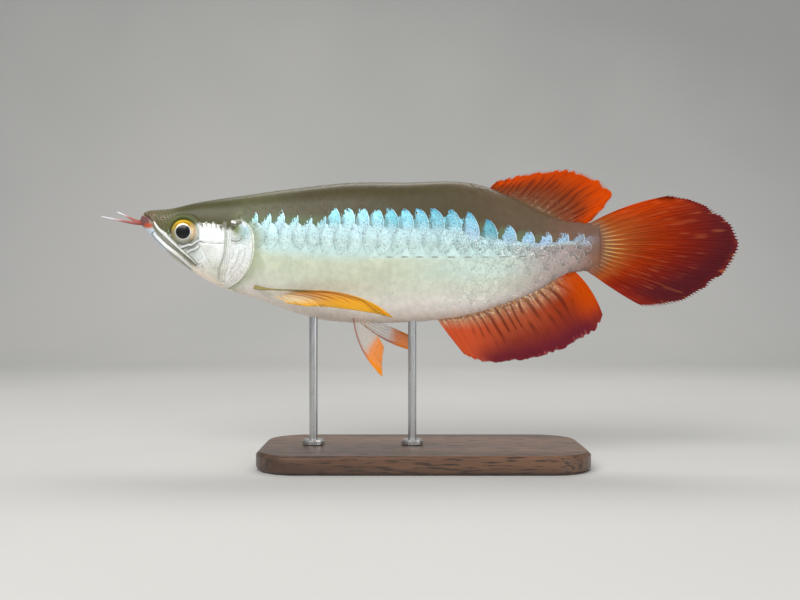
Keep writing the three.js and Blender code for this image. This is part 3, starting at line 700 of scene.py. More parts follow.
def head_colour(station, height):
    """Colours of the head in the side view, from the silver ground over the crown, the surround of
    the eye, the folds, the jaw and the lips to the shoulder."""
    colour = mixed(SILVER, PEARL, step(-height, 4, 10))
    colour = mixed(colour, CREAM, bump(station, 26, 3.5) * bump(height, -9.0, 3.0) * 0.7)
    crown = step(height - CROWN_EDGE(station) + ragged(station, height, 0.4), -0.7, 0.6)
    front = 1 - step(station, 8, 15)
    colour = layered(colour, [
        (mixed(CROWN_OLIVE, NAPE_OLIVE, step(station, 30, 41)), crown),
        (PALE_GOLD, crown * front * 0.8),
        (SNOUT_BROWN, (1 - step(station, 1, 7)) * step(height, 6.0, 9.5) * 0.85),
    ])
    speck = step(ragged(station * 2.3, height * 2.1, 1.0), 0.9, 1.6)
    colour = mixed(colour, SPECK_GOLD, speck * front * crown * 0.5)
    from_eye = np.hypot(station - EYE_SEEN[0], height - EYE_SEEN[1])
    low = step(EYE_SEEN[1] - height, 0.0, 4.0)
    colour = mixed(colour, GREY, (1 - step(from_eye, 5.8, 7.8)) * low * 0.85)
    colour = mixed(colour, LID_GREEN, bump(from_eye, 5.9, 0.7) * (1 - low) * 0.5)
    folds = bump(station, 17.6, 2.4) * bump(height, -1.4, 2.6)
    colour = mixed(colour, GREY, folds * 0.7)
    for fold in (lid_fold, low_fold):
        colour = mixed(colour, FOLD_GREY, along_line(station, height, fold, 0.65, 0.3) * 0.6)
        colour = mixed(colour, WHITE, along_line(station, height, fold, 0, 0.26) * 0.95)
    colour = mixed(colour, CREASE_GREY, along_line(station, height, cheek_seam, 0, 0.22) * 0.9)
    # Painted shade in the sunk groove behind the cheek's rear seam, before the gill cover.
    colour = mixed(colour, GROOVE_SHADE, along_line(station, height, cheek_rear, 0.25, 0.5) * 0.6)
    lines = step(np.sin(station * 7.5 + 0.8 * np.sin(height * 0.9)), 0.1, 0.9)
    beside = step(station, 28.4, 29.4) * (1 - step(station, 32.0, 33.2)) * (1 - crown)
    colour = mixed(colour, STREAK_GREY, beside * lines * 0.7)
    colour = mixed(colour, MOUTH_DARK, along_line(station, height, mouth_line, 0, 0.42) * 0.9)
    below = mouth_side(station, height)
    jaw = step(below, 0.1, 0.7) * (1 - step(station, 17, 23))
    colour = mixed(colour, BEIGE, jaw * 0.9)
    chin = jaw * (1 - step(station, 6, 11)) * (1 - step(height, 6.4, 7.6))
    colour = layered(colour, [
        (JAW_BLUE, chin * 0.95),
        (LIP_SHADE, along_line(station, height, lip_low, 0.9, 0.26) * jaw * 0.8),
        (WHITE, along_line(station, height, lip_low, 0, 0.42) * step(station, 2, 5)),
        # A painted rim highlight along the throat's lower edge.
        (THROAT_HIGHLIGHT, along_line(station, height, throat_line, 0, 1.2) * 0.9),
    ])
    nub = 1 - step(np.hypot(station + 0.6, height - 10.0), 1.6, 2.9)
    colour = mixed(colour, LIP_PINK, nub * 0.95)
    spot = 1 - step(np.hypot((station - 0.9) * 0.6, height - 8.3), 0.3, 1.5)
    colour = mixed(colour, LIP_RED, spot * 0.95)
    patch = bump(station, 37.6, 3.4) * bump(height, 11.4, 2.2)
    colour = mixed(colour, GILL_GREEN, patch * 0.4)
    return mixed(colour, SHOULDER, step(station, 39.5, 42) * (1 - crown) * 0.95)


def mouth_side(station, height):
    """Above 0 on the lower jaw's side of the mouth: how far a place lies below the mouth line."""
    line = np.interp(station, mouth_line[:, 0], mouth_line[:, 1], left=13.0)
    return np.where(station < 19.5, line - height, -1.0)


print("head colour at the cheek", np.round(head_colour(np.array([24.0]), np.array([4.0]))[0], 2))

# %% [markdown]
# Materials. Two effects come back in several of them, so they are node groups: the fine dark flecks
# of fish skin, and wavy hairlines with small glints as on foil. A group gives out only values that
# vary over the surface. The shader stays in each material, its constant numbers on its own sockets.

# %% Node helpers
def group_of(name, inputs, outputs):
    """An empty shader node group with named number inputs and outputs."""
    group = bpy.data.node_groups.new(name, "ShaderNodeTree")
    for title, start in inputs:
        socket = group.interface.new_socket(title, in_out="INPUT", socket_type="NodeSocketFloat")
        socket.default_value = start
    for title in outputs:
        group.interface.new_socket(title, in_out="OUTPUT", socket_type="NodeSocketFloat")
    return group, group.nodes.new("NodeGroupInput"), group.nodes.new("NodeGroupOutput")


def add(tree, kind, **settings):
    """A node of that kind with its settings."""
    node = tree.nodes.new(kind)
    for key, value in settings.items():
        setattr(node, key, value)
    return node


def maths(tree, operation, first, second=None, third=None, clamp=False):
    """A Math node fed by sockets or numbers."""
    node = add(tree, "ShaderNodeMath", operation=operation, use_clamp=clamp)
    for socket, value in zip(node.inputs, (first, second, third)):
        if value is not None:
            fed(tree, value, socket)
    return node.outputs[0]


def times(tree, first, *others):
    """The product of sockets and numbers, one Math node after the other."""
    for other in others:
        first = maths(tree, "MULTIPLY", first, other)
    return first


def ramped(tree, value, low, high, from_value=0.0, to_value=1.0):
    """A smooth step of a value from low to high, given out between two numbers."""
    node = add(tree, "ShaderNodeMapRange", interpolation_type="SMOOTHSTEP")
    tree.links.new(value, node.inputs["Value"])
    node.inputs["From Min"].default_value = low
    node.inputs["From Max"].default_value = high
    node.inputs["To Min"].default_value = from_value
    node.inputs["To Max"].default_value = to_value
    return node.outputs["Result"]


def fed(tree, value, socket):
    """Feeds a socket from another one, or sets it to a number."""
    if isinstance(value, (int, float)):
        socket.default_value = value
    else:
        tree.links.new(value, socket)


def noise(tree, vector, scale, detail=3.0):
    """Cloudy noise from 0 to 1. A higher detail adds finer clouds over the coarse ones."""
    node = add(tree, "ShaderNodeTexNoise")
    tree.links.new(vector, node.inputs["Vector"])
    fed(tree, scale, node.inputs["Scale"])
    node.inputs["Detail"].default_value = detail
    return node.outputs["Fac"]


def object_place(tree):
    """The place on the object in metres, which stays with the piece wherever the camera is."""
    return add(tree, "ShaderNodeTexCoord").outputs["Object"]


def stretched(tree, place, scale):
    """A place scaled along each axis, so that a pattern on it is drawn out or squeezed."""
    node = add(tree, "ShaderNodeMapping")
    node.inputs["Scale"].default_value = scale
    tree.links.new(place, node.inputs["Vector"])
    return node.outputs["Vector"]


def map_parts(tree, name):
    """The two coordinates of a UV map of the piece."""
    parts = add(tree, "ShaderNodeSeparateXYZ")
    tree.links.new(add(tree, "ShaderNodeUVMap", uv_map=name).outputs["UV"], parts.inputs[0])
    return parts.outputs[0], parts.outputs[1]


def value_of(tree, name):
    """A number that was set on each vertex."""
    return add(tree, "ShaderNodeAttribute", attribute_name=name).outputs["Fac"]


def colour_of(tree, name="tint"):
    """A colour that was set on each vertex."""
    return add(tree, "ShaderNodeAttribute", attribute_name=name).outputs["Color"]


def blended(tree, factor, first, second, mode="MIX"):
    """A colour mix: factor 0 is the first colour, 1 the second. Each may be a socket or a colour."""
    node = add(tree, "ShaderNodeMix", data_type="RGBA", blend_type=mode)
    sockets = (node.inputs[0], node.inputs[6], node.inputs[7])
    for socket, value in zip(sockets, (factor, first, second)):
        if isinstance(value, np.ndarray):
            socket.default_value = (*value, 1.0)
        else:
            fed(tree, value, socket)
    return node.outputs[2]


def new_material(name, **sockets):
    """A material with one Principled shader whose constant numbers are set on its sockets."""
    material = bpy.data.materials.new(name)
    material.use_nodes = True
    tree = material.node_tree
    shader = tree.nodes["Principled BSDF"]
    for key, value in sockets.items():
        shader.inputs[key.replace("_", " ")].default_value = value
    return material, tree, shader


def feed(tree, shader, **sockets):
    """Feeds the shader's sockets with what varies over the surface."""
    for key, value in sockets.items():
        tree.links.new(value, shader.inputs[key.replace("_", " ")])


def bumped(tree, shader, height, distance):
    """Fine relief by a Bump node that feeds the shader's normal. distance is in millimetres."""
    node = add(tree, "ShaderNodeBump")
    node.inputs["Strength"].default_value = 1.0
    node.inputs["Distance"].default_value = distance * MM
    tree.links.new(height, node.inputs["Height"])
    feed(tree, shader, Normal=node.outputs["Normal"])


print("node helpers ready")

# %% Flecks group
flecks_group, flecks_in, flecks_out = group_of(
    "flecks", [("Scale", 2600.0), ("Coverage", 0.5)], ["Fleck", "Grain"]
)
fleck_place = object_place(flecks_group)
fleck_cells = add(flecks_group, "ShaderNodeTexVoronoi", feature="DISTANCE_TO_EDGE")
flecks_group.links.new(fleck_place, fleck_cells.inputs["Vector"])
flecks_group.links.new(flecks_in.outputs["Scale"], fleck_cells.inputs["Scale"])
fleck_noise = noise(flecks_group, fleck_place, flecks_in.outputs["Scale"], 3.0)
net = ramped(flecks_group, fleck_cells.outputs["Distance"], 0.02, 0.16, 1.0, 0.0)
cloud = maths(flecks_group, "ADD", fleck_noise, flecks_in.outputs["Coverage"])
cloud = ramped(flecks_group, cloud, 0.92, 1.12)
covered = maths(flecks_group, "MULTIPLY", net, cloud, clamp=True)
flecks_group.links.new(covered, flecks_out.inputs["Fleck"])
flecks_group.links.new(fleck_noise, flecks_out.inputs["Grain"])


def flecks(tree, scale, coverage):
    """Places the flecks group, with how fine the flecks are and how much they cover."""
    node = add(tree, "ShaderNodeGroup", node_tree=flecks_group)
    node.inputs["Scale"].default_value = scale
    fed(tree, coverage, node.inputs["Coverage"])
    return node.outputs["Fleck"], node.outputs["Grain"]


print("flecks group has", len(flecks_group.nodes), "nodes")

# %% Crinkles group
crinkles_group, crinkles_in, crinkles_out = group_of(
    "crinkles", [("Scale", 300.0)], ["Line", "Spark"]
)
SPARK_SCALE = 900.0
crinkle_place = object_place(crinkles_group)
crinkle_noise = noise(crinkles_group, crinkle_place, crinkles_in.outputs["Scale"], 4.0)
from_half = maths(crinkles_group, "ABSOLUTE", maths(crinkles_group, "SUBTRACT", crinkle_noise, 0.5))
hairline = ramped(crinkles_group, from_half, 0.004, 0.03, 1.0, 0.0)
crinkles_group.links.new(hairline, crinkles_out.inputs["Line"])
spark_cells = add(crinkles_group, "ShaderNodeTexVoronoi")
crinkles_group.links.new(crinkle_place, spark_cells.inputs["Vector"])
spark_cells.inputs["Scale"].default_value = SPARK_SCALE
dots = ramped(crinkles_group, spark_cells.outputs["Distance"], 0.14, 0.34, 1.0, 0.0)
spread_out = ramped(crinkles_group, noise(crinkles_group, crinkle_place, 380.0, 2.0), 0.5, 0.62)
crinkles_group.links.new(times(crinkles_group, dots, spread_out), crinkles_out.inputs["Spark"])


def crinkled(tree, colour, line_colour, spark_colour):
    """Lays wavy hairlines and small glints over a colour, as strong as the attributes crinkle and
    sparkle say."""
    node = add(tree, "ShaderNodeGroup", node_tree=crinkles_group)
    node.inputs["Scale"].default_value = 420.0
    lines = times(tree, node.outputs["Line"], value_of(tree, "crinkle"))
    colour = blended(tree, lines, colour, line_colour)
    sparks = times(tree, node.outputs["Spark"], value_of(tree, "sparkle"))
    return blended(tree, sparks, colour, spark_colour), lines


print("groups:", [group.name for group in bpy.data.node_groups])

# %% [markdown]
# Skin, scales and plates share one recipe: the tint painted on the mesh, darkened by flecks where
# the mesh says so, with a gleam that makes silver areas mirror more. A clear coat gives the wet look.

# %% Wet skin materials
FLECK_DARK = as_colour(58, 74, 74)
# Painted shadow that the free edge of the scale ahead casts on the front of a scale.
FRONT_SHADOW = as_colour(70, 92, 84)
RIM_PALE = as_colour(236, 246, 246)
PORE_DARK = as_colour(96, 96, 84)
LINE_GREY = as_colour(120, 126, 118)
SPARK_WHITE = as_colour(252, 253, 252)
BRISTLE_STRETCH = (1.0, 0.6, 0.34)
BRISTLE_REACH = 5.0
GROWTH_RINGS = 60.0
print("pale rim of a scale", np.round(RIM_PALE, 2))


# %% Pattern of a scale
def scale_pattern(tree, colour):
    """The drawing on each scale by how far a place is ahead of its free edge: painted shadow on the
    front, under the edge of the scale ahead, as strong as an attribute says, a fine grey line, a pale
    rim and a pore's dash. Over it the olive of the back comes down to a ragged border, where the
    attribute below passes 0. It gives back the colour, the waves of the growth rings, and 1 where the
    scale isn't olive."""
    ahead, across = map_parts(tree, "scale_place")
    place = object_place(tree)
    wander = maths(tree, "MULTIPLY_ADD", noise(tree, place, 900.0, 3.0), 0.5, -0.25)
    loose = maths(tree, "ADD", ahead, wander)
    # Painted shadow on the front of each scale, under the edge of the scale ahead.
    front = times(tree, ramped(tree, loose, 0.58, 0.9), value_of(tree, "front_shadow"))
    colour = blended(tree, front, colour, FRONT_SHADOW)
    drawn = value_of(tree, "edge")
    inner = ramped(tree, ahead, 0.04, 0.08)
    inner = times(tree, inner, ramped(tree, ahead, 0.1, 0.2, 1.0, 0.0), 0.3, drawn)
    colour = blended(tree, inner, colour, FLECK_DARK)
    rim = times(tree, ramped(tree, ahead, 0.02, 0.07, 1.0, 0.0), 0.7, drawn)
    colour = blended(tree, rim, colour, RIM_PALE)
    from_middle = maths(tree, "ADD", maths(tree, "SUBTRACT", across, 0.5), times(tree, wander, 0.05))
    dash = ramped(tree, maths(tree, "ABSOLUTE", from_middle), 0.008, 0.03, 1.0, 0.0)
    length = ramped(tree, ahead, 0.34, 0.46), ramped(tree, ahead, 0.78, 0.9, 1.0, 0.0)
    strength = ramped(tree, loose, 0.2, 0.6, 0.2, 0.7)
    dash = times(tree, dash, *length, value_of(tree, "pored"), strength)
    colour = blended(tree, dash, colour, PORE_DARK)
    bristle = noise(tree, stretched(tree, place, BRISTLE_STRETCH), 2300.0, 2.0)
    wild = maths(tree, "MULTIPLY_ADD", bristle, BRISTLE_REACH, -BRISTLE_REACH / 2)
    bright = ramped(tree, maths(tree, "ADD", value_of(tree, "below"), wild), -0.35, 0.35)
    colour = blended(tree, bright, colour_of(tree, "dark_tint"), colour)
    return colour, maths(tree, "SINE", times(tree, ahead, GROWTH_RINGS)), bright


print("a scale's olive border wanders by", BRISTLE_REACH / 2, "mm")


# %% Wet material
def wet_material(name, fleck_scale, relief, coat=0.6, roughness=0.34, scaled=False):
    """A fish finish: tint, flecks by the attribute speckle, and metal by the attribute gleam. A
    scaled one has the pattern of the scales over it."""
    material, tree, shader = new_material(name, Coat_Roughness=0.16, Specular_IOR_Level=0.22)
    shader.inputs["Subsurface Radius"].default_value = (0.004, 0.003, 0.002)
    shader.inputs["Subsurface Scale"].default_value = 0.3
    shader.inputs["Subsurface Weight"].default_value = 0.08
    fleck, fine = flecks(tree, fleck_scale, value_of(tree, "speckle"))
    colour = blended(tree, times(tree, fleck, 0.6), colour_of(tree), FLECK_DARK)
    colour, lines = crinkled(tree, colour, LINE_GREY, SPARK_WHITE)
    mottle = ramped(tree, noise(tree, object_place(tree), 420.0, 4.0), 0.3, 0.7, 0.94, 1.06)
    height = maths(tree, "MULTIPLY_ADD", lines, -0.8, times(tree, fine, 0.5))
    gleam = value_of(tree, "gleam")
    if scaled:
        colour, rings, bright = scale_pattern(tree, colour)
        height = maths(tree, "MULTIPLY_ADD", rings, 0.2, height)
        gleam = times(tree, gleam, bright)
    tone = add(tree, "ShaderNodeCombineColor")
    for socket in tone.inputs:
        tree.links.new(mottle, socket)
    colour = blended(tree, 1.0, colour, tone.outputs["Color"], "MULTIPLY")
    rough = maths(tree, "MULTIPLY_ADD", fine, 0.3, roughness - 0.12)
    rough = maths(tree, "MULTIPLY_ADD", gleam, -0.08, rough)
    wet = maths(tree, "MULTIPLY_ADD", gleam, coat, 0.02, clamp=True)
    metal = times(tree, gleam, 0.7)
    feed(tree, shader, Base_Color=colour, Metallic=metal, Roughness=rough, Coat_Weight=wet)
    bumped(tree, shader, height, relief)
    return material


skin_material = wet_material("wet_skin", 1700.0, 0.05)
scale_material = wet_material("wet_scale", 1350.0, 0.05, scaled=True)
plate_material = wet_material("wet_plate", 1900.0, 0.06, coat=0.8, roughness=0.28)
print("wet materials ready")

# %% [markdown]
# The skin is one closed surface over head, trunk and stem, with rings crowded on the head, where
# the sockets, the mouth and the seams are sunk into it.

# %% Skin
SKIN_DEPTH = 0.42
SKIN_SIDES = 288
HEAD_END = 46.0
HEAD_RINGS = 220
TRUNK_RING_GAP = 1.15
NARROW_START = 168.0
head_rings = SNOUT + (HEAD_END - SNOUT) * np.linspace(0.012, 1, HEAD_RINGS) ** 1.3
trunk_rings = np.arange(HEAD_END + 0.9, STEM_END - 1.0, TRUNK_RING_GAP)
skin_stations = np.concatenate([head_rings, trunk_rings])
skin_shares = np.linspace(0, 2, SKIN_SIDES, endpoint=False)
ring_station, ring_share = np.meshgrid(skin_stations, skin_shares, indexing="ij")


def skin_points(station, share):
    """The body surface with the head's relief, sunk by the depth of the scales on the trunk. The
    relief fades at the middle of the back and of the belly, where both sides meet."""
    plain = bare_surface(station, share)
    on_head = 1 - step(station, 38, 44)
    relief = head_relief(*seen_place(plain))
    side_only = step(np.abs(plain[..., 1]) / np.maximum(half_width(station), 0.2), 0.12, 0.4)
    depth = SKIN_DEPTH * (1 - on_head) * (1 - 0.8 * step(station, 166, 172))
    lift = relief * side_only * (1 - step(station, 42, 45)) - depth
    return narrowed(surface(station, share, lift), station)


def narrowed(points, station):
    """Narrows the stem over its last millimetres like the end of an ellipse, down to the fin root."""
    past = np.clip((station - NARROW_START) / (STEM_END - NARROW_START), 0, 1)
    kept = np.ones_like(past)
    width = np.sqrt(np.clip(1 - past**2, 0.03, 1))
    return points * np.stack([kept, width, kept], axis=-1)


skin_grid = skin_points(ring_station, ring_share)
nose = np.array([[SNOUT, 0, back_line(SNOUT)]])
stem = np.array([[STEM_END, 0, 0.0]])
skin_corners = np.concatenate([skin_grid.reshape(-1, 3), nose, stem])
skin = new_piece(
    "skin", skin_corners, capped_faces(*ring_station.shape), skin_material,
    replaced=["head", "torso_front", "torso_rear", "tail_stem", "jaw"],
)

# %% [markdown]
# The skin carries the same markings as the scales over it. Its tint, flecks and gleam are numbers
# on its vertices, so a material reads them without an image.

# %% Paint the skin
def gill_station(height):
    """The station of the gill cover's rear edge at a height, which bends in towards the throat."""
    return np.interp(-height, -gill_edge[:, 1], gill_edge[:, 0])


def speckle_of(station, row):
    """How much the flecks cover: heavy on the back, the second row and the stem, light below."""
    amount = 0.3 + 0.25 * bump(row, 3.3, 1.1) - 0.06 * (1 - step(row, 2.0, 2.6))
    rear = step(station, 108, 134) * step(row, 3, 4)
    return amount + rear * (0.14 - 0.07 * step(row, 4.8, 5.6)) + 0.06 * step(station, 150, 166)


def gleam_of(station, row):
    """How metallic: the blue row most, the back and the stem least."""
    amount = 0.06 + 0.5 * bump(row, 3.3, 0.9) + 0.16 * step(row, 4, 5)
    return amount * (1 - 0.7 * step(station, 144, 168))


def skin_tint(station, share):
    """The head's colours in front of the gill edge, the trunk's behind it."""
    place = bare_surface(station, share)
    row = row_at(station, share)
    under = step(below_back(station, place[..., 2]), -0.4, 0.4)
    trunk = mixed(back_colour(station, row), flank_colour(station, row), under)
    seen = seen_place(place)
    return mixed(head_colour(*seen), trunk, step(seen[0] - gill_station(seen[1]), 2.0, 5.0))


flat_station = np.concatenate([ring_station.ravel(), [SNOUT, STEM_END]])
flat_share = np.concatenate([ring_share.ravel(), [0.6, 0.5]])
flat_height = skin_corners[:, 2]
flat_row = row_at(flat_station, flat_share)
behind_head = step(flat_station, 40, HEAD_END)
on_head = 1 - behind_head
on_crown = step(flat_height, 7.5, 10.5) * on_head
seen_station, _ = seen_place(skin_corners)
near_gill = bump(seen_station, 31, 3) * step(-flat_height, 6, 11)
near_gill = near_gill + bump(seen_station, 20.5, 3) * bump(flat_height, -7, 2.5)
trunk_speckle = speckle_of(flat_station, flat_row)
set_tint(skin, skin_tint(flat_station, flat_share))
set_values(skin, "speckle", trunk_speckle * behind_head + (0.12 + 0.3 * on_crown) * on_head)
set_values(skin, "gleam", 0.3 * (1 - on_crown) * on_head + 0.06 * behind_head)
set_values(skin, "crinkle", (0.12 + 0.6 * near_gill) * (1 - on_crown) * on_head)
set_values(skin, "sparkle", 0.9 * near_gill + 0.25 * (1 - on_crown) * on_head)
print("skin painted")

# %% [markdown]
# The plates of the head are thin bones under shining skin. Each is a sheet between a front curve
# and a rear curve, lifted off the skin and closed behind, so its edge casts a real line of shadow.

# %% Plates
PLATE_DEPTH = 0.45


def plate(name, front, rear, side, lift_of, tint_of, replaced=(), speckle=0.04, crinkle=0.08,
          fine=(64, 44)):
    """A closed plate: u runs from the front curve to the rear one and v along them. The outer face
    stands lift_of(u, v) off the skin, and the inner face lies a plate's depth under it."""
    along, across = fine
    front, rear = smooth_chain(front, along), smooth_chain(rear, along)
    u = np.linspace(0, 1, across)[None, :, None]
    place = front[:, None] * (1 - u) + rear[:, None] * u
    v, u = np.meshgrid(np.linspace(0, 1, along), np.linspace(0, 1, across), indexing="ij")
    lift = lift_of(u, v)
    real = drawn_in(place[..., 0], place[..., 1])
    outer = flank(*real, side, lift)
    inner = flank(*real, side, lift - PLATE_DEPTH)
    points = np.concatenate([outer.reshape(-1, 3), inner.reshape(-1, 3)])
    piece = new_piece(name, points, shell_faces(along, across), plate_material, replaced)
    tint = tint_of(place[..., 0], place[..., 1], u, v).reshape(-1, 3)
    set_tint(piece, np.concatenate([tint, tint]))
    set_evenly(piece, speckle=speckle, gleam=0.3, crinkle=crinkle, sparkle=0.5)


print("plates are", PLATE_DEPTH, "mm deep")


# %% Gill plate
def rounded_edge(u, v, width_u, width_v):
    """1 inside a plate, falling in a quarter circle to 0 at its four borders."""
    from_side = np.minimum(u, 1 - u) / width_u
    from_end = np.minimum(v, 1 - v) / width_v
    inside = np.clip(np.minimum(from_side, from_end), 0, 1)
    return np.sqrt(1 - (1 - inside) ** 2)


def gill_lift(u, v):
    """Flush in front, highest behind the middle, and turned in at the free rear edge."""
    swell = 0.36 * step(u, 0.0, 0.5) + 0.03
    edge = np.sqrt(np.clip((1 - u) / 0.06, 0, 1))
    ends = rounded_edge(np.full_like(u, 0.5), v, 0.5, 0.06)
    folds = 0.035 * np.sin(34 * u + 9 * v) * step(u, 0.45, 0.8)
    rim = 0.07 * bump(u, 0.93, 0.035)
    return (swell + folds + rim) * (0.35 + 0.65 * edge) * ends - 0.12


GILL_CREASE = np.array([(31.9, 3.4), (33.0, 2.5), (34.6, 2.1), (36.2, 2.5), (37.0, 3.4)])
GILL_STREAK = np.array([(31.8, 10.2), (34.4, 9.3)])


def gill_tint(station, height, u, v):
    """White with a blue point at the top, a green patch in front of it, a dark crease and streaks."""
    colour = layered(WHITE, [
        (SILVER, step(-height, -4, 3)),
        (PEARL, step(-height, 2, 11) * 0.7),
        # Painted shade along the plate's front border, beside the groove before it.
        (as_colour(166, 174, 162), (1 - step(u, 0.02, 0.26)) * 0.7),
    ])
    blue = bump(station, 38.2, 3.0) * bump(height, 6.4, 4.2)
    colour = mixed(colour, as_colour(140, 188, 190), blue * 0.85)
    colour = mixed(colour, JAW_BLUE, bump(station, 37.8, 1.5) * bump(height, 8.6, 1.6) * 0.9)
    patch = bump(station, 34.8, 2.0) * bump(height, 7.0, 3.0)
    colour = mixed(colour, GILL_GREEN, patch)
    slope = 9.6 - 0.9 * np.clip(37.4 - station, 0, 4) + 0.6 * np.clip(station - 37.8, 0, 4)
    olive = step(height - slope + ragged(station, height, 0.35), -0.3, 0.7)
    colour = mixed(colour, CROWN_OLIVE, olive * 0.9)
    dark, pale = (along_line(station, height, GILL_CREASE, *at) for at in ((0, 0.3), (0.9, 0.35)))
    colour = layered(colour, [
        (as_colour(84, 92, 80), dark * 0.9),
        (as_colour(120, 128, 110), pale * 0.4),
        (WHITE, along_line(station, height, GILL_STREAK, 0, 0.34)),
    ])
    lines = step(np.sin(30 * u + 5 * v + 2.4 * np.sin(9 * v)), 0.3, 1.0) * (1 - step(u, 0.5, 0.95))
    return layered(colour, [
        (as_colour(176, 180, 172), lines * step(-height, -2, 4) * 0.5),
        (WHITE, bump(u, 0.2, 0.05) * bump(height, -8, 5) * 0.8),
        (as_colour(176, 182, 150), bump(u, 0.935, 0.02) * 0.8),
        (as_colour(236, 232, 214), bump(u, 0.985, 0.022) * 0.9),
    ])


print("the gill cover swells by", round(float(gill_lift(0.6, 0.5)), 2), "mm")


# %% Cheek and jaw bone plates
def cheek_lift(u, v):
    """A flat plate with rounded borders, a little crowned in the middle."""
    return 0.26 * rounded_edge(u, v, 0.16, 0.16) + 0.05 * np.sin(np.pi * u) * np.sin(np.pi * v) - 0.06


def upper_cheek_tint(station, height, u, v):
    """Bright white under the ragged edge of the crown, with a thin grey border."""
    edge = height - CROWN_EDGE(station) + ragged(station * 1.7, height, 0.5)
    return layered(WHITE, [
        (as_colour(176, 176, 162), step(edge, -1.9, -0.4) * 0.6),
        (as_colour(86, 84, 66), step(edge, -0.7, 0.2) * 0.92),
        (SILVER_SHADE, (1 - rounded_edge(u, v, 0.06, 0.05)) * 0.5),
    ])


def lower_cheek_tint(station, height, u, v):
    """Pale grey white, creamier where it narrows towards the jaw corner, white at its rear edge."""
    shine = bump(u, 0.75, 0.25) * (1 - step(v, 0.4, 0.9))
    return layered(as_colour(222, 226, 220), [
        (WHITE, shine * 0.6),
        (CREAM, step(v, 0.5, 1.0) * 0.8),
        (WHITE, bump(u, 0.95, 0.04) * 0.7),
        (as_colour(176, 178, 168), (1 - rounded_edge(u, v, 0.05, 0.05)) * 0.6),
    ])


def maxilla_lift(u, v):
    """A long strip, crowned along its upper side, with a furrow under the crown."""
    crown = 0.42 * bump(u, 0.7, 0.3) + 0.16 * bump(u, 0.12, 0.14)
    return (crown + 0.2) * rounded_edge(u, v, 0.1, 0.07) - 0.06


def maxilla_tint(station, height, u, v):
    """A white stripe along the crown, grey green in the furrow under it, paler at the lower edge."""
    stripe = bump(u, 0.72, 0.17) * (1 - 0.35 * step(v, 0.6, 1.0))
    return layered(as_colour(118, 120, 96), [
        (WHITE, stripe),
        (as_colour(168, 166, 172), bump(u, 0.3, 0.12) * bump(v, 0.4, 0.2) * 0.7),
        (as_colour(206, 204, 192), bump(u, 0.05, 0.07) * 0.6),
        (as_colour(150, 120, 96), (1 - step(v, 0.0, 0.1)) * 0.6),
    ])


UPPER_CHEEK = ([(20.4, 9.6), (20.0, 5.6), (20.6, 2.3)], [(30.0, 8.6), (30.3, 5.0), (30.2, 1.4)])
LOWER_CHEEK = ([(20.8, 1.5), (22.4, -2.6), (25.8, -8.4)], [(30.1, 0.9), (29.7, -3.2), (28.1, -8.2)])
for side_name, side in SIDES.items():
    plate(f"gill_plate_{side_name}", gill_front, gill_edge, side, gill_lift, gill_tint,
          [f"gill_cover_{side_name}"], speckle=0.08, crinkle=0.3, fine=(110, 84))
    plate(f"upper_cheek_{side_name}", *UPPER_CHEEK, side, cheek_lift, upper_cheek_tint)
    plate(f"lower_cheek_{side_name}", *LOWER_CHEEK, side, cheek_lift, lower_cheek_tint)
    plate(f"upper_jaw_bone_{side_name}", maxilla_low, maxilla_top, side, maxilla_lift, maxilla_tint,
          [f"maxilla_{side_name}"], fine=(110, 40))

# %% [markdown]
# The eye is a flattened ball turned about a line across the fish. Its bands are rings: a black
# pupil, a thin silver ring, then an iris that is gold above and grey below. A value from 0 in the
# middle to 1 at the rim runs over the ball, and a ramp in the material cuts the bands from it.

# %% Eyes
EYE_BANDS = [
    (0.0, as_colour(6, 7, 9)), (0.52, as_colour(8, 9, 11)), (0.54, as_colour(236, 240, 238)),
    (0.575, as_colour(226, 230, 226)), (0.595, as_colour(120, 112, 80)),
]


def eye_material_made():
    """Black, silver and iris by the ring value, with fine spokes in the iris and a glassy coat."""
    material, tree, shader = new_material(
        "eye_glass", Coat_Weight=0.3, Coat_Roughness=0.03, Roughness=0.3, Specular_IOR_Level=0.25
    )
    ring_value = value_of(tree, "ring")
    ramp = add(tree, "ShaderNodeValToRGB")
    elements = ramp.color_ramp.elements
    while len(elements) < len(EYE_BANDS):
        elements.new(0.5)
    for element, (at, colour) in zip(elements, EYE_BANDS):
        element.position = at
        element.color = (*colour, 1)
    tree.links.new(ring_value, ramp.inputs[0])
    spokes = ramped(tree, noise(tree, object_place(tree), 1500.0, 4.0), 0.35, 0.65)
    iris = blended(tree, spokes, colour_of(tree), as_colour(244, 232, 196), "MULTIPLY")
    outside = ramped(tree, ring_value, 0.58, 0.61)
    colour = blended(tree, outside, ramp.outputs["Color"], iris)
    silver = ramped(tree, ring_value, 0.5, 0.54)
    silver = maths(tree, "SUBTRACT", silver, times(tree, outside, 0.6))
    silver = maths(tree, "MULTIPLY", silver, 0.6, clamp=True)
    feed(tree, shader, Base_Color=colour, Metallic=silver)
    return material


eye_glass = eye_material_made()


print("eye bands", len(EYE_BANDS))


# %% Eyeballs
def iris_tint(turn, ring):
    """Colour of the iris by the angle round it: a brown then yellow crescent over the pupil, a
    green border on top, peach behind, olive in front and silver grey below."""
    up = np.sin(turn)
    back = np.cos(turn)
    colour = layered(as_colour(146, 152, 148), [
        (as_colour(190, 194, 188), bump(ring, 0.66, 0.05) * 0.7),
        (as_colour(240, 208, 62), step(up, -0.05, 0.45)),
        (as_colour(156, 92, 22), bump(ring, 0.7, 0.07) * step(up, 0.1, 0.7) * 0.9),
        (as_colour(230, 206, 178), step(back, 0.55, 0.95) * 0.8),
        (as_colour(150, 138, 76), step(-back, 0.5, 0.95) * 0.6),
    ])
    border = step(ring, 0.88, 0.97) * (0.1 + 0.85 * step(up, 0.0, 0.5))
    return mixed(colour, as_colour(88, 100, 46), border)


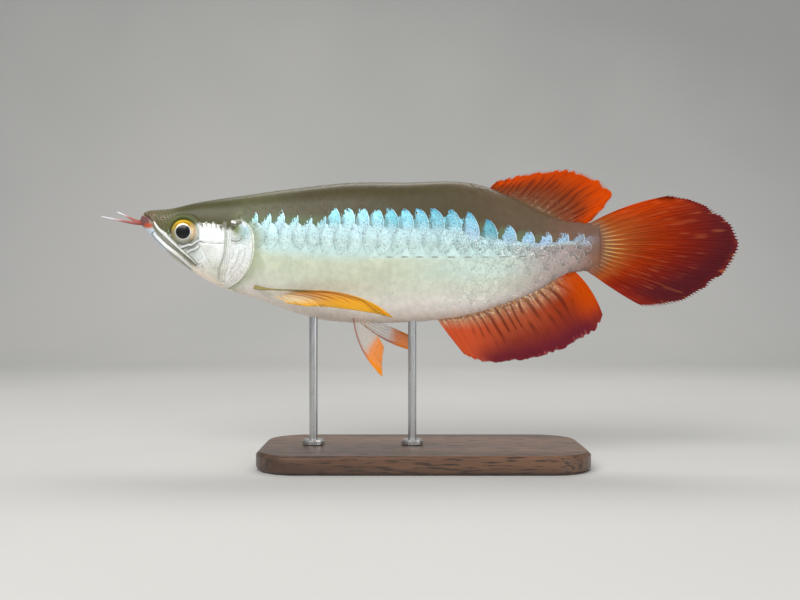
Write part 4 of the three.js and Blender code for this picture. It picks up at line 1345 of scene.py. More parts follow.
def eyeball(name, side, node):
    """A surface of revolution: the radius times the sine of t to the power 0.86 round the axis, and
    the depth times the cosine of t outwards."""
    t = np.linspace(0.0, np.pi, 64)[1:-1, None]
    turn = np.linspace(0, 2 * np.pi, 96, endpoint=False)[None]
    radius = EYE_RADIUS * np.sin(t) ** EYE_FULLNESS
    out = EYE_DEPTH * np.cos(t)
    across = (EYE_OUT + out) * side
    grid = np.stack(np.broadcast_arrays(
        EYE_STATION + radius * np.cos(turn), across, EYE_HEIGHT + radius * np.sin(turn)), axis=-1)
    poles = np.array([[EYE_STATION, (EYE_OUT + EYE_DEPTH) * side, EYE_HEIGHT],
                      [EYE_STATION, (EYE_OUT - EYE_DEPTH) * side, EYE_HEIGHT]])
    rows, columns = grid.shape[:2]
    points = np.concatenate([grid.reshape(-1, 3), poles])
    piece = new_piece(name, points, capped_faces(rows, columns), eye_glass, [node])
    ring_value = np.broadcast_to(radius / EYE_RADIUS, (rows, columns))
    ring_value = np.where(t < np.pi / 2, ring_value, 1.0)
    set_values(piece, "ring", np.concatenate([ring_value.ravel(), [0, 1]]))
    tint = iris_tint(np.broadcast_to(turn, (rows, columns)), ring_value)
    set_tint(piece, np.concatenate([tint.reshape(-1, 3), np.zeros((1, 3)), tint[-1, :1]]))


for side_name, side in SIDES.items():
    eyeball(f"eyeball_{side_name}", side, f"eye_{side_name}")


# %% [markdown]
# A rim is a tube swept round a closed path on the skin. The same sweep makes the soft ring round
# the eye, the rims of the nostrils and the dark spots inside them, painted shade that stands for
# the openings.

# %% Rims and nostrils
RING_TURN = np.linspace(0, 2 * np.pi, 120, endpoint=False)
NOSTRIL_BROWN = as_colour(150, 132, 108)
# Painted shade that stands for the inside of a nostril.
NOSTRIL_HOLE_SHADE = as_colour(24, 20, 16)
TUBE_SIDES = 14
TUBE_FLATNESS = 0.75


def swept_ring(path, out, radius):
    """A tube round a closed path: at each point a circle, flattened outwards, in the plane of the
    outward direction and the direction square to path and outward."""
    way = np.roll(path, -1, axis=0) - np.roll(path, 1, axis=0)
    way /= np.linalg.norm(way, axis=1, keepdims=True)
    beside = np.cross(way, out)
    beside /= np.linalg.norm(beside, axis=1, keepdims=True)
    turn = np.linspace(0, 2 * np.pi, TUBE_SIDES, endpoint=False)[None, :, None]
    circle = np.cos(turn) * beside[:, None] + TUBE_FLATNESS * np.sin(turn) * out[:, None]
    return path[:, None] + radius * circle


def closed_ring_faces(rows, columns):
    """Quads of a torus: the last ring joins the first."""
    faces = grid_faces(rows + 1, columns, wrap=True)
    return faces % (rows * columns)


def ring_on_skin(name, centre, reach, side, radius, lift, tint, squeeze=1.0):
    """A soft rim round a place on the side of the head: reach is its half width there, and squeeze
    its height against its width."""
    seen_station = centre[0] + reach * np.cos(RING_TURN)
    seen_height = centre[1] + reach * squeeze * np.sin(RING_TURN)
    real = drawn_in(seen_station, seen_height)
    path = flank(*real, side, lift)
    out = flank(*real, side, lift + 1.0) - path
    tube = swept_ring(path, out, radius)
    rows, columns = tube.shape[:2]
    piece = new_piece(name, tube, closed_ring_faces(rows, columns), skin_material)
    set_tint(piece, np.broadcast_to(np.broadcast_to(tint, (rows, 3))[:, None], tube.shape))
    set_evenly(piece, speckle=0.3, gleam=0.25)


def rim_tint(turn):
    """Olive above the eye, grey below it, peach behind."""
    return layered(as_colour(150, 154, 146), [
        (as_colour(78, 88, 46), step(np.sin(turn), 0.0, 0.5)),
        (as_colour(118, 112, 78), step(-np.cos(turn), 0.4, 0.9) * 0.8),
        (as_colour(222, 204, 180), step(np.cos(turn), 0.6, 1.0) * 0.7),
    ])


for side_name, side in SIDES.items():
    ring_on_skin(f"eye_rim_{side_name}", EYE_SEEN, 5.5, side, 0.34, -0.32, rim_tint(RING_TURN))
    for place_name, place, reach in zip(("front", "rear"), NOSTRILS, (0.42, 0.6)):
        ring_on_skin(f"nostril_{place_name}_{side_name}", place, reach, side, 0.2, 0.04,
                     NOSTRIL_BROWN, squeeze=0.8)
        # A dark ring of painted shade that stands for the nostril's opening.
        ring_on_skin(f"nostril_{place_name}_hole_{side_name}", place, reach * 0.35, side,
                     reach * 0.38, -0.02, NOSTRIL_HOLE_SHADE)

# %% [markdown]
# Two feelers grow from the tip of the chin. Each is a circle carried along a bent path, tapering
# to a fine point, red at its root and white at its tip.

# %% Feelers
FEELERS = {
    "left": [(0.8, -1.5, 9.1), (-2.8, -2.3, 9.0), (-8.4, -4, 9.8), (-15.3, -6, 11.2)],
    "right": [(0.4, 1.5, 9.4), (-3.9, 2.6, 10.1), (-8.6, 5.6, 12.1), (-13.9, 9.5, 14.4)],
}
ROOT_RADIUS = 0.9
TIP_RADIUS = 0.2
FEELER_RINGS = 70
FEELER_SIDES = 20


def swept_taper(path, radii):
    """Circles along an open path, square to it, with a radius for each of them."""
    way = np.gradient(path, axis=0)
    way /= np.linalg.norm(way, axis=1, keepdims=True)
    beside = np.cross(way, np.array([0.0, 0.0, 1.0]))
    beside /= np.linalg.norm(beside, axis=1, keepdims=True)
    above = np.cross(beside, way)
    turn = np.linspace(0, 2 * np.pi, FEELER_SIDES, endpoint=False)[None, :, None]
    circle = np.cos(turn) * beside[:, None] + np.sin(turn) * above[:, None]
    return path[:, None] + radii[:, None, None] * circle


def feeler(name, corners, node):
    """A taper from the root's radius to the tip's, with a faint wave for its rings of skin, and
    rounded off over the last thirtieth."""
    share = np.linspace(0, 1, FEELER_RINGS)
    path = smooth_chain(corners, FEELER_RINGS)
    radii = ROOT_RADIUS + (TIP_RADIUS - ROOT_RADIUS) * share**0.75
    radii = radii * (1 + 0.05 * np.sin(share * 120)) * np.sqrt(np.clip((1.004 - share) / 0.03, 0, 1))
    tube = swept_taper(path, radii)
    rows, columns = tube.shape[:2]
    points = np.concatenate([tube.reshape(-1, 3), path[:1], path[-1:]])
    piece = new_piece(name, points, capped_faces(rows, columns), skin_material, [node])
    colour = mixed(as_colour(138, 60, 48), as_colour(166, 104, 98), step(share, 0.06, 0.4))
    colour = mixed(colour, as_colour(214, 216, 226), step(share, 0.45, 0.9))
    tint = np.repeat(colour[:, None], columns, axis=1).reshape(-1, 3)
    set_tint(piece, np.concatenate([tint, colour[:1], colour[-1:]]))
    set_evenly(piece, speckle=0.1, gleam=0.0)


for side_name in SIDES:
    feeler(f"feeler_{side_name}", FEELERS[side_name], f"barbel_{side_name}")

# %% [markdown]
# Scales are stiff plates like roof tiles. Each is a small closed shell: its front lies under the
# ones before it, its rear edge is a free arc that stands off the body, and it is two rows tall.
# All of them are one formula over arrays of counts and rows, so there is no loop over scales.

# %% Scales
SCALE_ACROSS = 11
SCALE_LENGTH = 1.95
EDGE_BEND = 1.15
EDGE_LIFT = 0.34
LIFT_SLOPE = 0.37
SCALE_THICKNESS = 0.16
SCALE_STEPS = np.array([0.0, 0.38, 0.7, 0.93, 1.0])
ROW_REACH = 0.98
CLEAR_OF_BACK = 9.0
BAKE_PATCH = 0.003
MIDDLE_SHARE = 0.02


def scale_places():
    """Counts and rows of all scales on one side: odd rows are half a scale further back. Only those
    behind the gill cover and still on the body stay."""
    rows = np.arange(-4, 10)
    counts = np.arange(-3, 24)
    count, row = np.meshgrid(counts, rows, indexing="ij")
    count = count + 0.5 * (row % 2)
    station = station_of_count(count)
    share = row_share(station, row)
    height = bare_surface(station, np.clip(share, 0, 1))[..., 2]
    first = np.where(height > 11.2, 42.6, gill_station(height) + 5.0)
    last = STEM_END - 3.2
    kept = (station > first) & (station < last) & (share > -0.03) & (share < 1.03)
    return count[kept], row[kept], share[kept]


def scale_points(count, row, side, jitter):
    """Grid points of scales: v runs across from -1 to 1 over two rows, u from the hidden front to
    the free rear edge, which is an arc. The upper half of row 3 is taller towards the tail. The lift
    falls by a constant slope ahead of the edge."""
    v = np.linspace(-1, 1, SCALE_ACROSS)[None, None, :]
    u = SCALE_STEPS[None, :, None]
    count, row = count[:, None, None], row[:, None, None]
    edge = station_of_count(count)
    taller = (row == 3) * (v < 0) * (0.17 * step(edge, 80, 98) + 0.34 * step(edge, 118, 134))
    bend = EDGE_BEND * (1 - np.sqrt(1 - (0.94 * v) ** 2)) * (1 - taller)
    length = SCALE_LENGTH * (1 - 0.45 * v**2) - bend * 0.4
    behind = count - bend - (1 - u) * length
    station = station_of_count(behind)
    share = row_share(station, row + (ROW_REACH + taller) * v)
    ahead = count - behind
    crown = 0.07 * (1 - v**2) + 0.03 * np.sin(np.pi * u)
    lift = EDGE_LIFT + jitter[:, None, None] - LIFT_SLOPE * ahead + crown - 0.07 * step(u, 0.9, 1.0)
    lift = lift * relief_of(station, row) - 0.3 * step(1 - u, 0.62, 1.0)
    around = share if side == RIGHT else 2 - share
    under = lift - SCALE_THICKNESS * (0.35 + 0.65 * relief_of(station, row))
    outer = narrowed(surface(station, around, lift), station)
    inner = narrowed(surface(station, around, under), station)
    edge_gap = np.broadcast_to((1 - u) * length, station.shape)
    return outer, inner, edge_gap, np.broadcast_to(v, station.shape), station, share


print("scales on a side", len(scale_places()[0]))


# %% Marks of the scales
def relief_of(station, row):
    """How strongly a scale stands out: full in the blue rows and the stem, faint on the smooth
    lower side in front and on the back."""
    amount = 0.1 + 0.8 * bump(row, 3.5, 0.9) + 0.3 * step(station, 96, 130) * step(row, 4, 6)
    amount = amount + 0.25 * step(station, 136, 150) * bump(row, 5, 1.5)
    amount = amount + 0.1 * bump(row, 0, 0.8) + 0.14 * bump(row, 9, 0.8)
    return np.clip(amount, 0, 1) * (1 - 0.35 * step(station, 160, STEM_END))


def edge_of(station, row):
    """How clearly the rim and the line inside it are drawn."""
    rear = 0.16 * step(station, 96, 126) + 0.1 * step(station, 134, 148)
    return 0.06 + 0.5 * bump(row, 3.0, 0.7) + rear * bump(row, 4.8, 1.4)


def scale_colours(row, across, station, share, spread):
    """Tints over each scale: the flank's markings by the row of each place, greener behind the gill
    cover, and a little lighter or darker from scale to scale."""
    local = row[:, None] + ROW_REACH * across
    height = bare_surface(station, share)[..., 2]
    colour = flank_colour(station, local)
    behind_gill = 1 - step(station - gill_station(height), 1.0, 7.0)
    colour = mixed(colour, SHOULDER, behind_gill * step(11.4 - height, 0, 1) * 0.9)
    shade = spread[:, None] * (0.35 + 0.65 * bump(row, 3.6, 1.6))[:, None]
    violet = step(spread[:, None], 0.01, 0.09) * bump(local, 3.1, 0.7)
    colour = mixed(colour, LILAC_SKY, violet * 0.55)
    teal = step(-spread[:, None], 0.01, 0.09) * bump(local, 2.7, 0.5)
    colour = mixed(colour, TEAL, teal * 0.35)
    return colour * (1 + shade)[..., None]


def front_shadow_of(station, row):
    """How dark the painted shadow on the front of a scale is, under the edge of the scale ahead: strong
    in the blue row near head and tail, weak between and on the belly."""
    middle = bump(station, 104, 26)
    blue = (0.85 - 0.4 * middle) * bump(row, 3.0, 0.6)
    return np.clip(0.03 + blue + 0.18 * bump(row, 4.0, 0.6) + 0.25 * step(station, 136, 160), 0, 1)


print("a blue scale's dark front at mid body", round(float(front_shadow_of(90.0, 3.0)), 2))


# %% Scale pieces
def scale_maps(piece, count, row, gap, across, side):
    """Two maps: scale_place says how far a place is ahead of the free edge and across the scale, and
    OFBake gives each scale a patch of its own beside its root, so that a bake has room for it."""
    set_map(piece, "scale_place", np.stack([gap, across * 0.5 + 0.5], axis=-1))
    station = station_of_count(count)
    along = (station - SNOUT) / (STEM_END - SNOUT)
    around = np.mod(row_share(station, row), 2) * 0.48 + 0.01
    root = np.stack([along, around if side == RIGHT else 0.98 - around], axis=-1)
    local = np.stack([gap / SCALE_LENGTH - 0.5, across * 0.5], axis=-1) * BAKE_PATCH
    set_map(piece, "OFBake", root[:, None] * 0.98 + 0.01 + local)


def below_border(count, row, height, ahead, uneven):
    """How far each place of a scale lies under the olive of the back, measured level with its edge.
    Rows 0 to 2 hang the olive lower, rows 0 to 3 wander by uneven in front, and rows from 4 on are
    kept clear of it."""
    edge = station_of_count(count - 0.2)[:, None]
    below = below_back(edge, height, ahead, (row <= 2)[:, None])
    below = below + CLEAR_OF_BACK * (row >= 4)[:, None]
    uneven = uneven * (1 - step(edge[:, 0], 84, 100))
    return below + (uneven * (row <= 3))[:, None]


def scale_piece(name, side, wanted, seed):
    """All scales of one side that wanted picks by their share round the body, as one mesh with the
    colours, maps and numbers that the scale material reads."""
    count, row, share = scale_places()
    keep = wanted(share)
    count, row = count[keep], row[keep]
    draw = seeded(seed)
    jitter = draw.uniform(-0.03, 0.03, len(count))
    spread = draw.normal(0, 0.06, len(count))
    outer, inner, gap, across, station, share = scale_points(count, row, side, jitter)
    each = 2 * SCALE_ACROSS * len(SCALE_STEPS)
    points = np.stack([outer, inner], axis=1).reshape(len(count), each, 3)
    faces = repeated(shell_faces(len(SCALE_STEPS), SCALE_ACROSS), len(count), each)
    piece = new_piece(name, points, faces, scale_material)
    piece.data.set_sharp_from_angle(angle=np.radians(48))

    def both(grid):
        """A number on each place of the grid, for the outer face and the inner one."""
        return np.stack([grid, grid], axis=1).reshape(len(count), each)

    station, share, gap, across = both(station), both(share), both(gap), both(across)
    set_tint(piece, scale_colours(row, across, station, share, spread))
    pitch = station_of_count(count + 0.5) - station_of_count(count - 0.5)
    uneven = draw.uniform(-1.0, 0.5, len(count))
    height = both(outer[..., 2])
    set_values(piece, "below", below_border(count, row, height, gap * pitch[:, None], uneven))
    set_tint(piece, back_colour(station, row[:, None] + ROW_REACH * across), "dark_tint")
    scale_maps(piece, count, row, gap, across, side)
    where = station_of_count(count - 0.4)
    rear = (row >= 4) * step(where, 104, 130)
    glint = (row >= 4) * bump(where, 132, 22)
    per_scale = {
        "speckle": speckle_of(where, row) + draw.uniform(-0.05, 0.05, len(count)),
        "gleam": gleam_of(where, row),
        "front_shadow": front_shadow_of(where, row),
        # How strong the painted shadow on the front of each scale is.
        "edge": edge_of(where, row),
        "crinkle": 0.28 * bump(row, 3.6, 1.0) + 0.34 * rear,
        "pored": (row == ROWS_UP) * step(where, 84, 100) * (1 - step(where, 150, 166)),
        "sparkle": 0.12 + 0.45 * bump(row, 3.6, 1.3) + 0.75 * glint,
    }
    for title, values in per_scale.items():
        set_values(piece, title, np.repeat(values[:, None], each, axis=1))


def on_flank(share):
    """True for the scales beside the two middle rows, along the back and along the belly."""
    return (share > MIDDLE_SHARE) & (share < 1 - MIDDLE_SHARE)


scale_piece("scales_left", LEFT, on_flank, 11)
scale_piece("scales_right", RIGHT, on_flank, 12)
scale_piece("scales_middle", RIGHT, lambda share: ~on_flank(share), 13)

# %% [markdown]
# A fin is a fan: bony rays that start close together at the root, bend, and split in two and again
# in two before the margin, with thin skin between them. The sheet is a family of curves, one for
# each place along the root, and its thickness is the sum of bells on the branches.

# %% Fin sheets
FIRST_FORK = 0.3
SECOND_FORK = 0.62
MARGIN_POINTS = 400
RAY_JOINTS = 190.0


def ray_curves(root, margin, bow, along, down, late):
    """Quadratic curves from root to margin: (1 - b) squared of the root, 2 b (1 - b) of the middle
    pushed by bow, and b squared of the margin. late moves the bow's push towards the margin."""
    a = np.linspace(0, 1, along)[:, None, None]
    b = np.linspace(0, 1, down)[None, :, None]
    push = (bow[0] * (1 - a) + bow[1] * a) * (1 + late * (2 * b - 1))
    middle = (root + margin)[:, None] / 2 + push
    return root[:, None] * (1 - b) ** 2 + 2 * b * (1 - b) * middle + margin[:, None] * b**2


def branching(a, b, rays):
    """How near a place is to a branch, in ray spacings. The distance is folded at the ray, then at
    each branch, which move apart as b passes the two forks."""
    inside = np.mod(a * (rays - 1) + 0.5, 1) - 0.5
    once = 0.25 * step(b, FIRST_FORK, FIRST_FORK + 0.3)
    twice = 0.125 * step(b, SECOND_FORK, SECOND_FORK + 0.25)
    return np.abs(np.abs(np.abs(inside) - once) - twice)


def read_along(at, places, points):
    """Points of a line read at distances along it, straight between its own points."""
    return np.stack([np.interp(at, places, axis_values) for axis_values in points.T], axis=-1)


def fin_piece(name, node, root, margin, bow, rays, down, tint_of, opacity_of, halves,
              wave=0.0, notch=0.5, columns=14, power=1.0, late=0.0):
    """A closed fin: two sheets half a thickness to each side of the middle one. halves gives the
    half thickness at the root, of a ray and of the web. The middle sheet has columns steps between
    two rays and down steps from root to margin, the margin is cut back between the branches by
    notch, and wave bends the sheet to both sides."""
    along = (rays - 1) * columns + 1
    share = np.linspace(0, 1, along)
    root = read_along(share, np.linspace(0, 1, len(root)), np.array(root, float))
    edge = smooth_chain(margin, MARGIN_POINTS)
    walked = np.concatenate([[0], np.linalg.norm(np.diff(edge, axis=0), axis=1).cumsum()])
    edge = read_along(share**power * walked[-1], walked, edge)
    a, b = np.meshgrid(share, np.linspace(0, 1, down), indexing="ij")
    near_end = branching(share, np.ones(along), rays)
    bow = np.array(bow, float)
    reach = np.linalg.norm(edge - root, axis=1)
    ragged_end = 0.35 + 1.3 * grain(share, 0 * share, rays, rays * 2, 1)
    cut = notch * ragged_end * (0.3 + np.clip(near_end / 0.06, 0, 1) ** 1.5) / np.maximum(reach, 1)
    edge = edge + (root - edge) * cut[:, None]
    sheet = ray_curves(root, edge, bow, along, down, late)
    across = np.gradient(sheet, axis=0)
    out = np.gradient(sheet, axis=1)
    normal = np.cross(out, across)
    normal /= np.maximum(np.linalg.norm(normal, axis=-1, keepdims=True), 1e-9)
    near = branching(a, b, rays)
    width = 0.16 - 0.11 * step(b, 0.1, 0.8)
    ridge = np.exp(-((near / width) ** 2))
    base, ray, web = halves
    thick = web + (ray - web) * ridge * (1 - 0.55 * b) + (base - web) * (1 - step(b, 0.0, 0.16))
    thick = thick * (1 - 0.7 * step(b, 0.93, 1.0))
    swing = wave * b**1.3 * np.sin(a * 2 * np.pi * 1.7 + 0.8)
    ripple = swing + 0.12 * wave * b * np.sin(a * 2 * np.pi * (rays - 1) / 2)
    middle = sheet + normal * ripple[..., None]
    front = middle + normal * thick[..., None]
    back = middle - normal * thick[..., None]
    points = np.concatenate([front.reshape(-1, 3), back.reshape(-1, 3)])
    piece = new_piece(name, points, shell_faces(along, down), fin_material, [node])
    tint = (tint_of(a, b, ridge) * (0.93 + 0.15 * ridge)[..., None]).reshape(-1, 3)
    set_tint(piece, np.concatenate([tint, tint]))
    solid = opacity_of(a, b, ridge).ravel()
    set_values(piece, "solid", np.concatenate([solid, solid]))
    set_values(piece, "ridge", np.concatenate([ridge.ravel(), ridge.ravel()]))
    place = np.stack([a, b * reach.mean() / 30], axis=-1).reshape(-1, 2)
    set_map(piece, "ray_place", np.concatenate([place, place]))


print("at a ray the nearest branch is off by", float(branching(0.0, 0.0, 9)))


# %% Fin material
def fin_material_made():
    """Thin wet skin over rays: tint, see-through webs, and fine cross joints along the rays."""
    material, tree, shader = new_material("fin_skin", Coat_Roughness=0.2, Specular_IOR_Level=0.015)
    shader.inputs["Subsurface Weight"].default_value = 0.25
    shader.inputs["Subsurface Radius"].default_value = (0.004, 0.0015, 0.0008)
    shader.inputs["Subsurface Scale"].default_value = 0.4
    fleck, fine = flecks(tree, 1500.0, 0.3)
    colour = blended(tree, times(tree, fleck, 0.35), colour_of(tree), as_colour(60, 24, 18))
    rough = maths(tree, "MULTIPLY_ADD", fine, 0.25, 0.27)
    feed(tree, shader, Base_Color=colour, Roughness=rough, Alpha=value_of(tree, "solid"))
    _, down_ray = map_parts(tree, "ray_place")
    joints = maths(tree, "SINE", times(tree, down_ray, RAY_JOINTS))
    joints = times(tree, joints, value_of(tree, "ridge"))
    height = maths(tree, "MULTIPLY_ADD", joints, 0.35, times(tree, fine, 0.6))
    bumped(tree, shader, height, 0.12)
    return material


fin_material = fin_material_made()
print("fin sheets ready")

# %% [markdown]
# Where each fin grows and how far it reaches. Roots lie a little inside the body, and the margins
# are the outlines of the spread fins.

# %% Fin roots
SUNK = 1.8
FIN_ORANGE = as_colour(196, 68, 4)
FIN_MAROON = as_colour(78, 22, 24)
FIN_DUSK = as_colour(110, 84, 62)
FIN_GOLD = as_colour(196, 152, 88)


def level(pairs):
    """Places in the middle plane of the fish from pairs of station and height."""
    return [(station, 0.0, height) for station, height in pairs]


def dorsal_root():
    """A line a little under the back."""
    station = np.linspace(131.5, 165, 40)
    return np.stack([station, 0 * station, back_line(station) - SUNK], axis=-1)


def anal_root():
    """A line a little over the belly's edge."""
    station = np.linspace(111, 163.5, 40)
    return np.stack([station, 0 * station, belly_line(station) + SUNK], axis=-1)


def tail_root():
    """An arc across the end of the stem: its middle reaches furthest back, by a square law."""
    height = np.linspace(9.1, -9.4, 40)
    return np.stack([STEM_END - 5 * (height / 10) ** 2 - SUNK, 0 * height, height], axis=-1)


print("tail root spans", round(float(np.ptp(tail_root()[:, 2])), 1), "mm")


# %% Tints of the red fins
def bars(a, b, seed, count, breaks):
    """Soft bars along the rays: a cosine over a, bent and broken up by two random grids."""
    bent = a * count + 0.9 * grain(a, b, seed, count // 2, 3)
    shown = step(grain(a, b, seed + 50, count, breaks), 0.14, 0.5)
    return step(np.cos(2 * np.pi * bent), 0.1, 0.9) * shown


def dorsal_tint(a, b, ridge):
    """Dusky grey brown at the base, orange red outside and along the front and rear edges, with
    dark streaks between."""
    rise = b + 0.25 * bump(a, 0.0, 0.2) + 0.4 * bump(a, 1.0, 0.22)
    colour = layered(FIN_DUSK, [
        (as_colour(118, 66, 42), step(rise, 0.06, 0.34)),
        (as_colour(132, 56, 24), step(rise, 0.32, 0.6)),
        (FIN_ORANGE, step(rise, 0.5, 1.02)),
    ])
    dark = bars(a, b, 21, 19, 5) * step(b, 0.08, 0.3) * (1 - 0.7 * step(rise, 0.65, 1.0))
    colour = mixed(colour, as_colour(84, 34, 22), dark * 0.6)
    pale = step(grain(a, b, 31, 70, 26), 0.7, 0.92) * (1 - step(b, 0.14, 0.44))
    return mixed(colour, as_colour(158, 138, 114), pale * 0.5)


def anal_tint(a, b, ridge):
    """Brick red with dusky streaks, gold and silver specks at the base, a bright orange band along
    the trailing edge and a purple red lower edge."""
    front = 1 - step(a, 0.1, 0.55)
    body = mixed(as_colour(158, 76, 48), as_colour(186, 78, 44), front)
    body = mixed(body, as_colour(140, 52, 24), step(a, 0.5, 0.85))
    colour = mixed(as_colour(168, 122, 96), body, step(b, 0.06, 0.42))
    colour = mixed(colour, FIN_GOLD, ridge * (1 - step(b, 0.1, 0.4)) * 0.5)
    specks = step(grain(a, b, 32, 150, 46), 0.64, 0.86) * (1 - step(b, 0.06, 0.34))
    colour = mixed(colour, as_colour(222, 208, 184), specks * 0.8)
    dark = bars(a, b, 22, 18, 5) * step(b, 0.06, 0.16) * (1 - step(b, 0.5, 0.9))
    colour = mixed(colour, as_colour(84, 34, 20), dark * (0.15 + 0.6 * step(a, 0.12, 0.4)))
    colour = mixed(colour, as_colour(122, 44, 34), step(b, 0.4, 0.72) * step(a, 0.15, 0.5) * 0.8)
    trailing = step(a, 0.8, 0.96) * (1 - 0.7 * step(b, 0.75, 1.0))
    colour = mixed(colour, as_colour(184, 68, 4), trailing * 0.95)
    plum = step(b, 0.6, 0.95) * step(a, 0.06, 0.3) * (1 - 0.55 * step(a, 0.86, 1.0))
    colour = mixed(colour, as_colour(92, 30, 44), plum * 0.9)
    pale = step(grain(a, b, 33, 90, 5), 0.78, 0.92) * step(b, 0.9, 0.97)
    return mixed(colour, as_colour(170, 96, 92), pale * 0.6)


def tail_tint(a, b, ridge):
    """Brown orange with short pale ray bases in the middle and an orange upper edge, then red, then
    maroon towards the rear and the lower edge, with fine dark and pale streaks."""
    deep = b + 0.5 * (a - 0.3) * step(b, 0.1, 0.4)
    colour = layered(as_colour(134, 94, 74), [
        (as_colour(152, 74, 30), step(b, 0.02, 0.16)),
        (as_colour(146, 46, 8), step(deep, 0.2, 0.5)),
        (as_colour(118, 30, 16), step(deep, 0.45, 0.75) * 0.9),
        (as_colour(74, 28, 34), step(deep, 0.62, 1.04) * 0.95),
    ])
    pale_base = ridge * step(b, 0.02, 0.05) * (1 - step(b, 0.08, 0.24)) * bump(a, 0.48, 0.3)
    colour = mixed(colour, as_colour(214, 178, 106), pale_base * 0.8)
    upper = bump(a, 0.0, 0.16) * step(b, 0.1, 0.4) * (1 - step(b, 0.9, 1))
    colour = mixed(colour, as_colour(190, 64, 6), upper * 0.9)
    dark = bars(a, b, 23, 46, 8)
    colour = mixed(colour, FIN_MAROON, dark * step(b, 0.12, 0.3) * 0.5)
    light = step(grain(a, b, 24, 90, 8), 0.7, 0.9)
    colour = mixed(colour, as_colour(182, 104, 66), light * (0.2 + 0.3 * step(b, 0.8, 1.0)))
    return mixed(colour, as_colour(150, 40, 20), bump(a, 1.0, 0.1) * step(b, 0.2, 0.5) * 0.6)


print("base of the dorsal fin", np.round(dorsal_tint(0.5, 0.0, 0.0), 2))


# %% Tints and opacity of the pale fins
def pectoral_tint(a, b, ridge):
    """A greenish leading ray, pale at the root, and yellow orange in the outer half with brown
    streaks."""
    colour = mixed(as_colour(210, 202, 156), as_colour(222, 156, 80), step(b, 0.24, 0.46))
    low = step(a, 0.35, 0.75)
    colour = mixed(colour, as_colour(240, 214, 170), low * step(b, 0.15, 0.3) * 0.9)
    colour = mixed(colour, as_colour(244, 174, 48), step(b, 0.58 + 0.1 * low, 0.88 + 0.1 * low) * 0.9)
    dark = bars(a, b, 25, 9, 3) * step(b, 0.2, 0.36) * (1 - step(b, 0.72, 0.95))
    colour = mixed(colour, as_colour(160, 92, 34), dark * (1 - step(a, 0.6, 0.8)) * 0.8)
    return mixed(colour, as_colour(142, 130, 80), bump(a, 0.0, 0.12) * (1 - step(b, 0.3, 0.5)) * 0.95)


def pelvic_tint(a, b, ridge):
    """Clear web with a pinkish brown leading ray and orange tips."""
    colour = mixed(as_colour(206, 186, 168), as_colour(240, 138, 30), step(b, 0.48, 0.7))
    return mixed(colour, as_colour(150, 96, 84), bump(a, 0.0, 0.12) * (1 - step(b, 0.55, 0.8)) * 0.9)


def mostly_solid(a, b, ridge):
    """Opacity of the red fins: solid, with the web a little clear at the margin."""
    return 1.0 - 0.06 * step(b, 0.8, 1.0) * (1 - ridge)


def half_clear(a, b, ridge):
    """Opacity of the pectoral fins: the leading ray and the outer half solid, the rest clear."""
    outer = step(b, 0.24, 0.5) * (0.8 - 0.35 * step(a, 0.35, 0.8) * (1 - step(b, 0.6, 0.85)))
    return np.clip(0.04 + 0.3 * ridge * step(b, 0.04, 0.3) + bump(a, 0.0, 0.1) + outer, 0, 1)


def nearly_clear(a, b, ridge):
    """Opacity of the pelvic fins: a clear web with a solid leading ray and brushed tips."""
    brush = step(b, 0.5, 0.72) * (0.35 + 0.65 * ridge)
    return np.clip(0.08 + 0.3 * ridge + bump(a, 0.0, 0.08) + brush, 0, 1)


print("a pelvic fin's tip is solid by", round(float(nearly_clear(0.5, 1.0, 1.0)), 2))


# %% Fins of the middle plane
fin_piece(
    "dorsal_sail", "dorsal_fin", dorsal_root(),
    level([(135.5, 25.9), (147.9, 29), (158, 30), (165.5, 29.9), (172.5, 27.4), (178.2, 23.6),
           (179.8, 20.6), (177.5, 16.2), (172.3, 10.4)]),
    [(-0.3, 0, 0.6), (0.3, 0, -0.9)], 18, 56, dorsal_tint, mostly_solid, (1.1, 0.34, 0.13),
    wave=0.8, notch=1.1, columns=16,
)
fin_piece(
    "anal_sail", "anal_fin", anal_root(),
    level([(123, -42), (129.1, -44.5), (138, -44.8), (147.5, -43.7), (157.5, -40.8), (167, -36.4),
           (174, -31.6), (176.3, -26.5)]),
    [(-0.6, 0, 0.2), (2.4, 0, 2)], 26, 60, anal_tint, mostly_solid, (1.1, 0.34, 0.13),
    wave=0.9, notch=0.8, power=1.2, columns=12,
)
fin_piece(
    "tail_sail", "tail_fin", tail_root(),
    level([(202.3, 20.3), (209, 18.8), (216, 16), (222.6, 11.6), (227.3, 5.6), (228.4, -0.6),
           (226, -6.6), (219.5, -13.2), (211, -19.2), (201, -22.8), (191.5, -23.4)]),
    [(0, 0, 2.8), (1, 0, -1.7)], 17, 72, tail_tint, mostly_solid, (1.3, 0.4, 0.14),
    wave=1.0, notch=1.3, columns=22,
)

# %% Paired fins
PECTORAL_ROOT = [(42.7, 7.6, -15.5), (47.6, 6.4, -18.4)]
PECTORAL_EDGE = [(96.1, 22, -27.2), (88.5, 19.5, -25.3), (79.9, 17.2, -23.9), (70.1, 14.6, -23.1),
                 (62.2, 12.4, -22.7), (56.2, 10.4, -21.6)]
PECTORAL_BOW = [(2, 5, 8.2), (0.5, 0.8, 0)]


def on_side(places, side):
    """Places given for the right side, or mirrored to the left."""
    return [(station, across * side, height) for station, across, height in places]


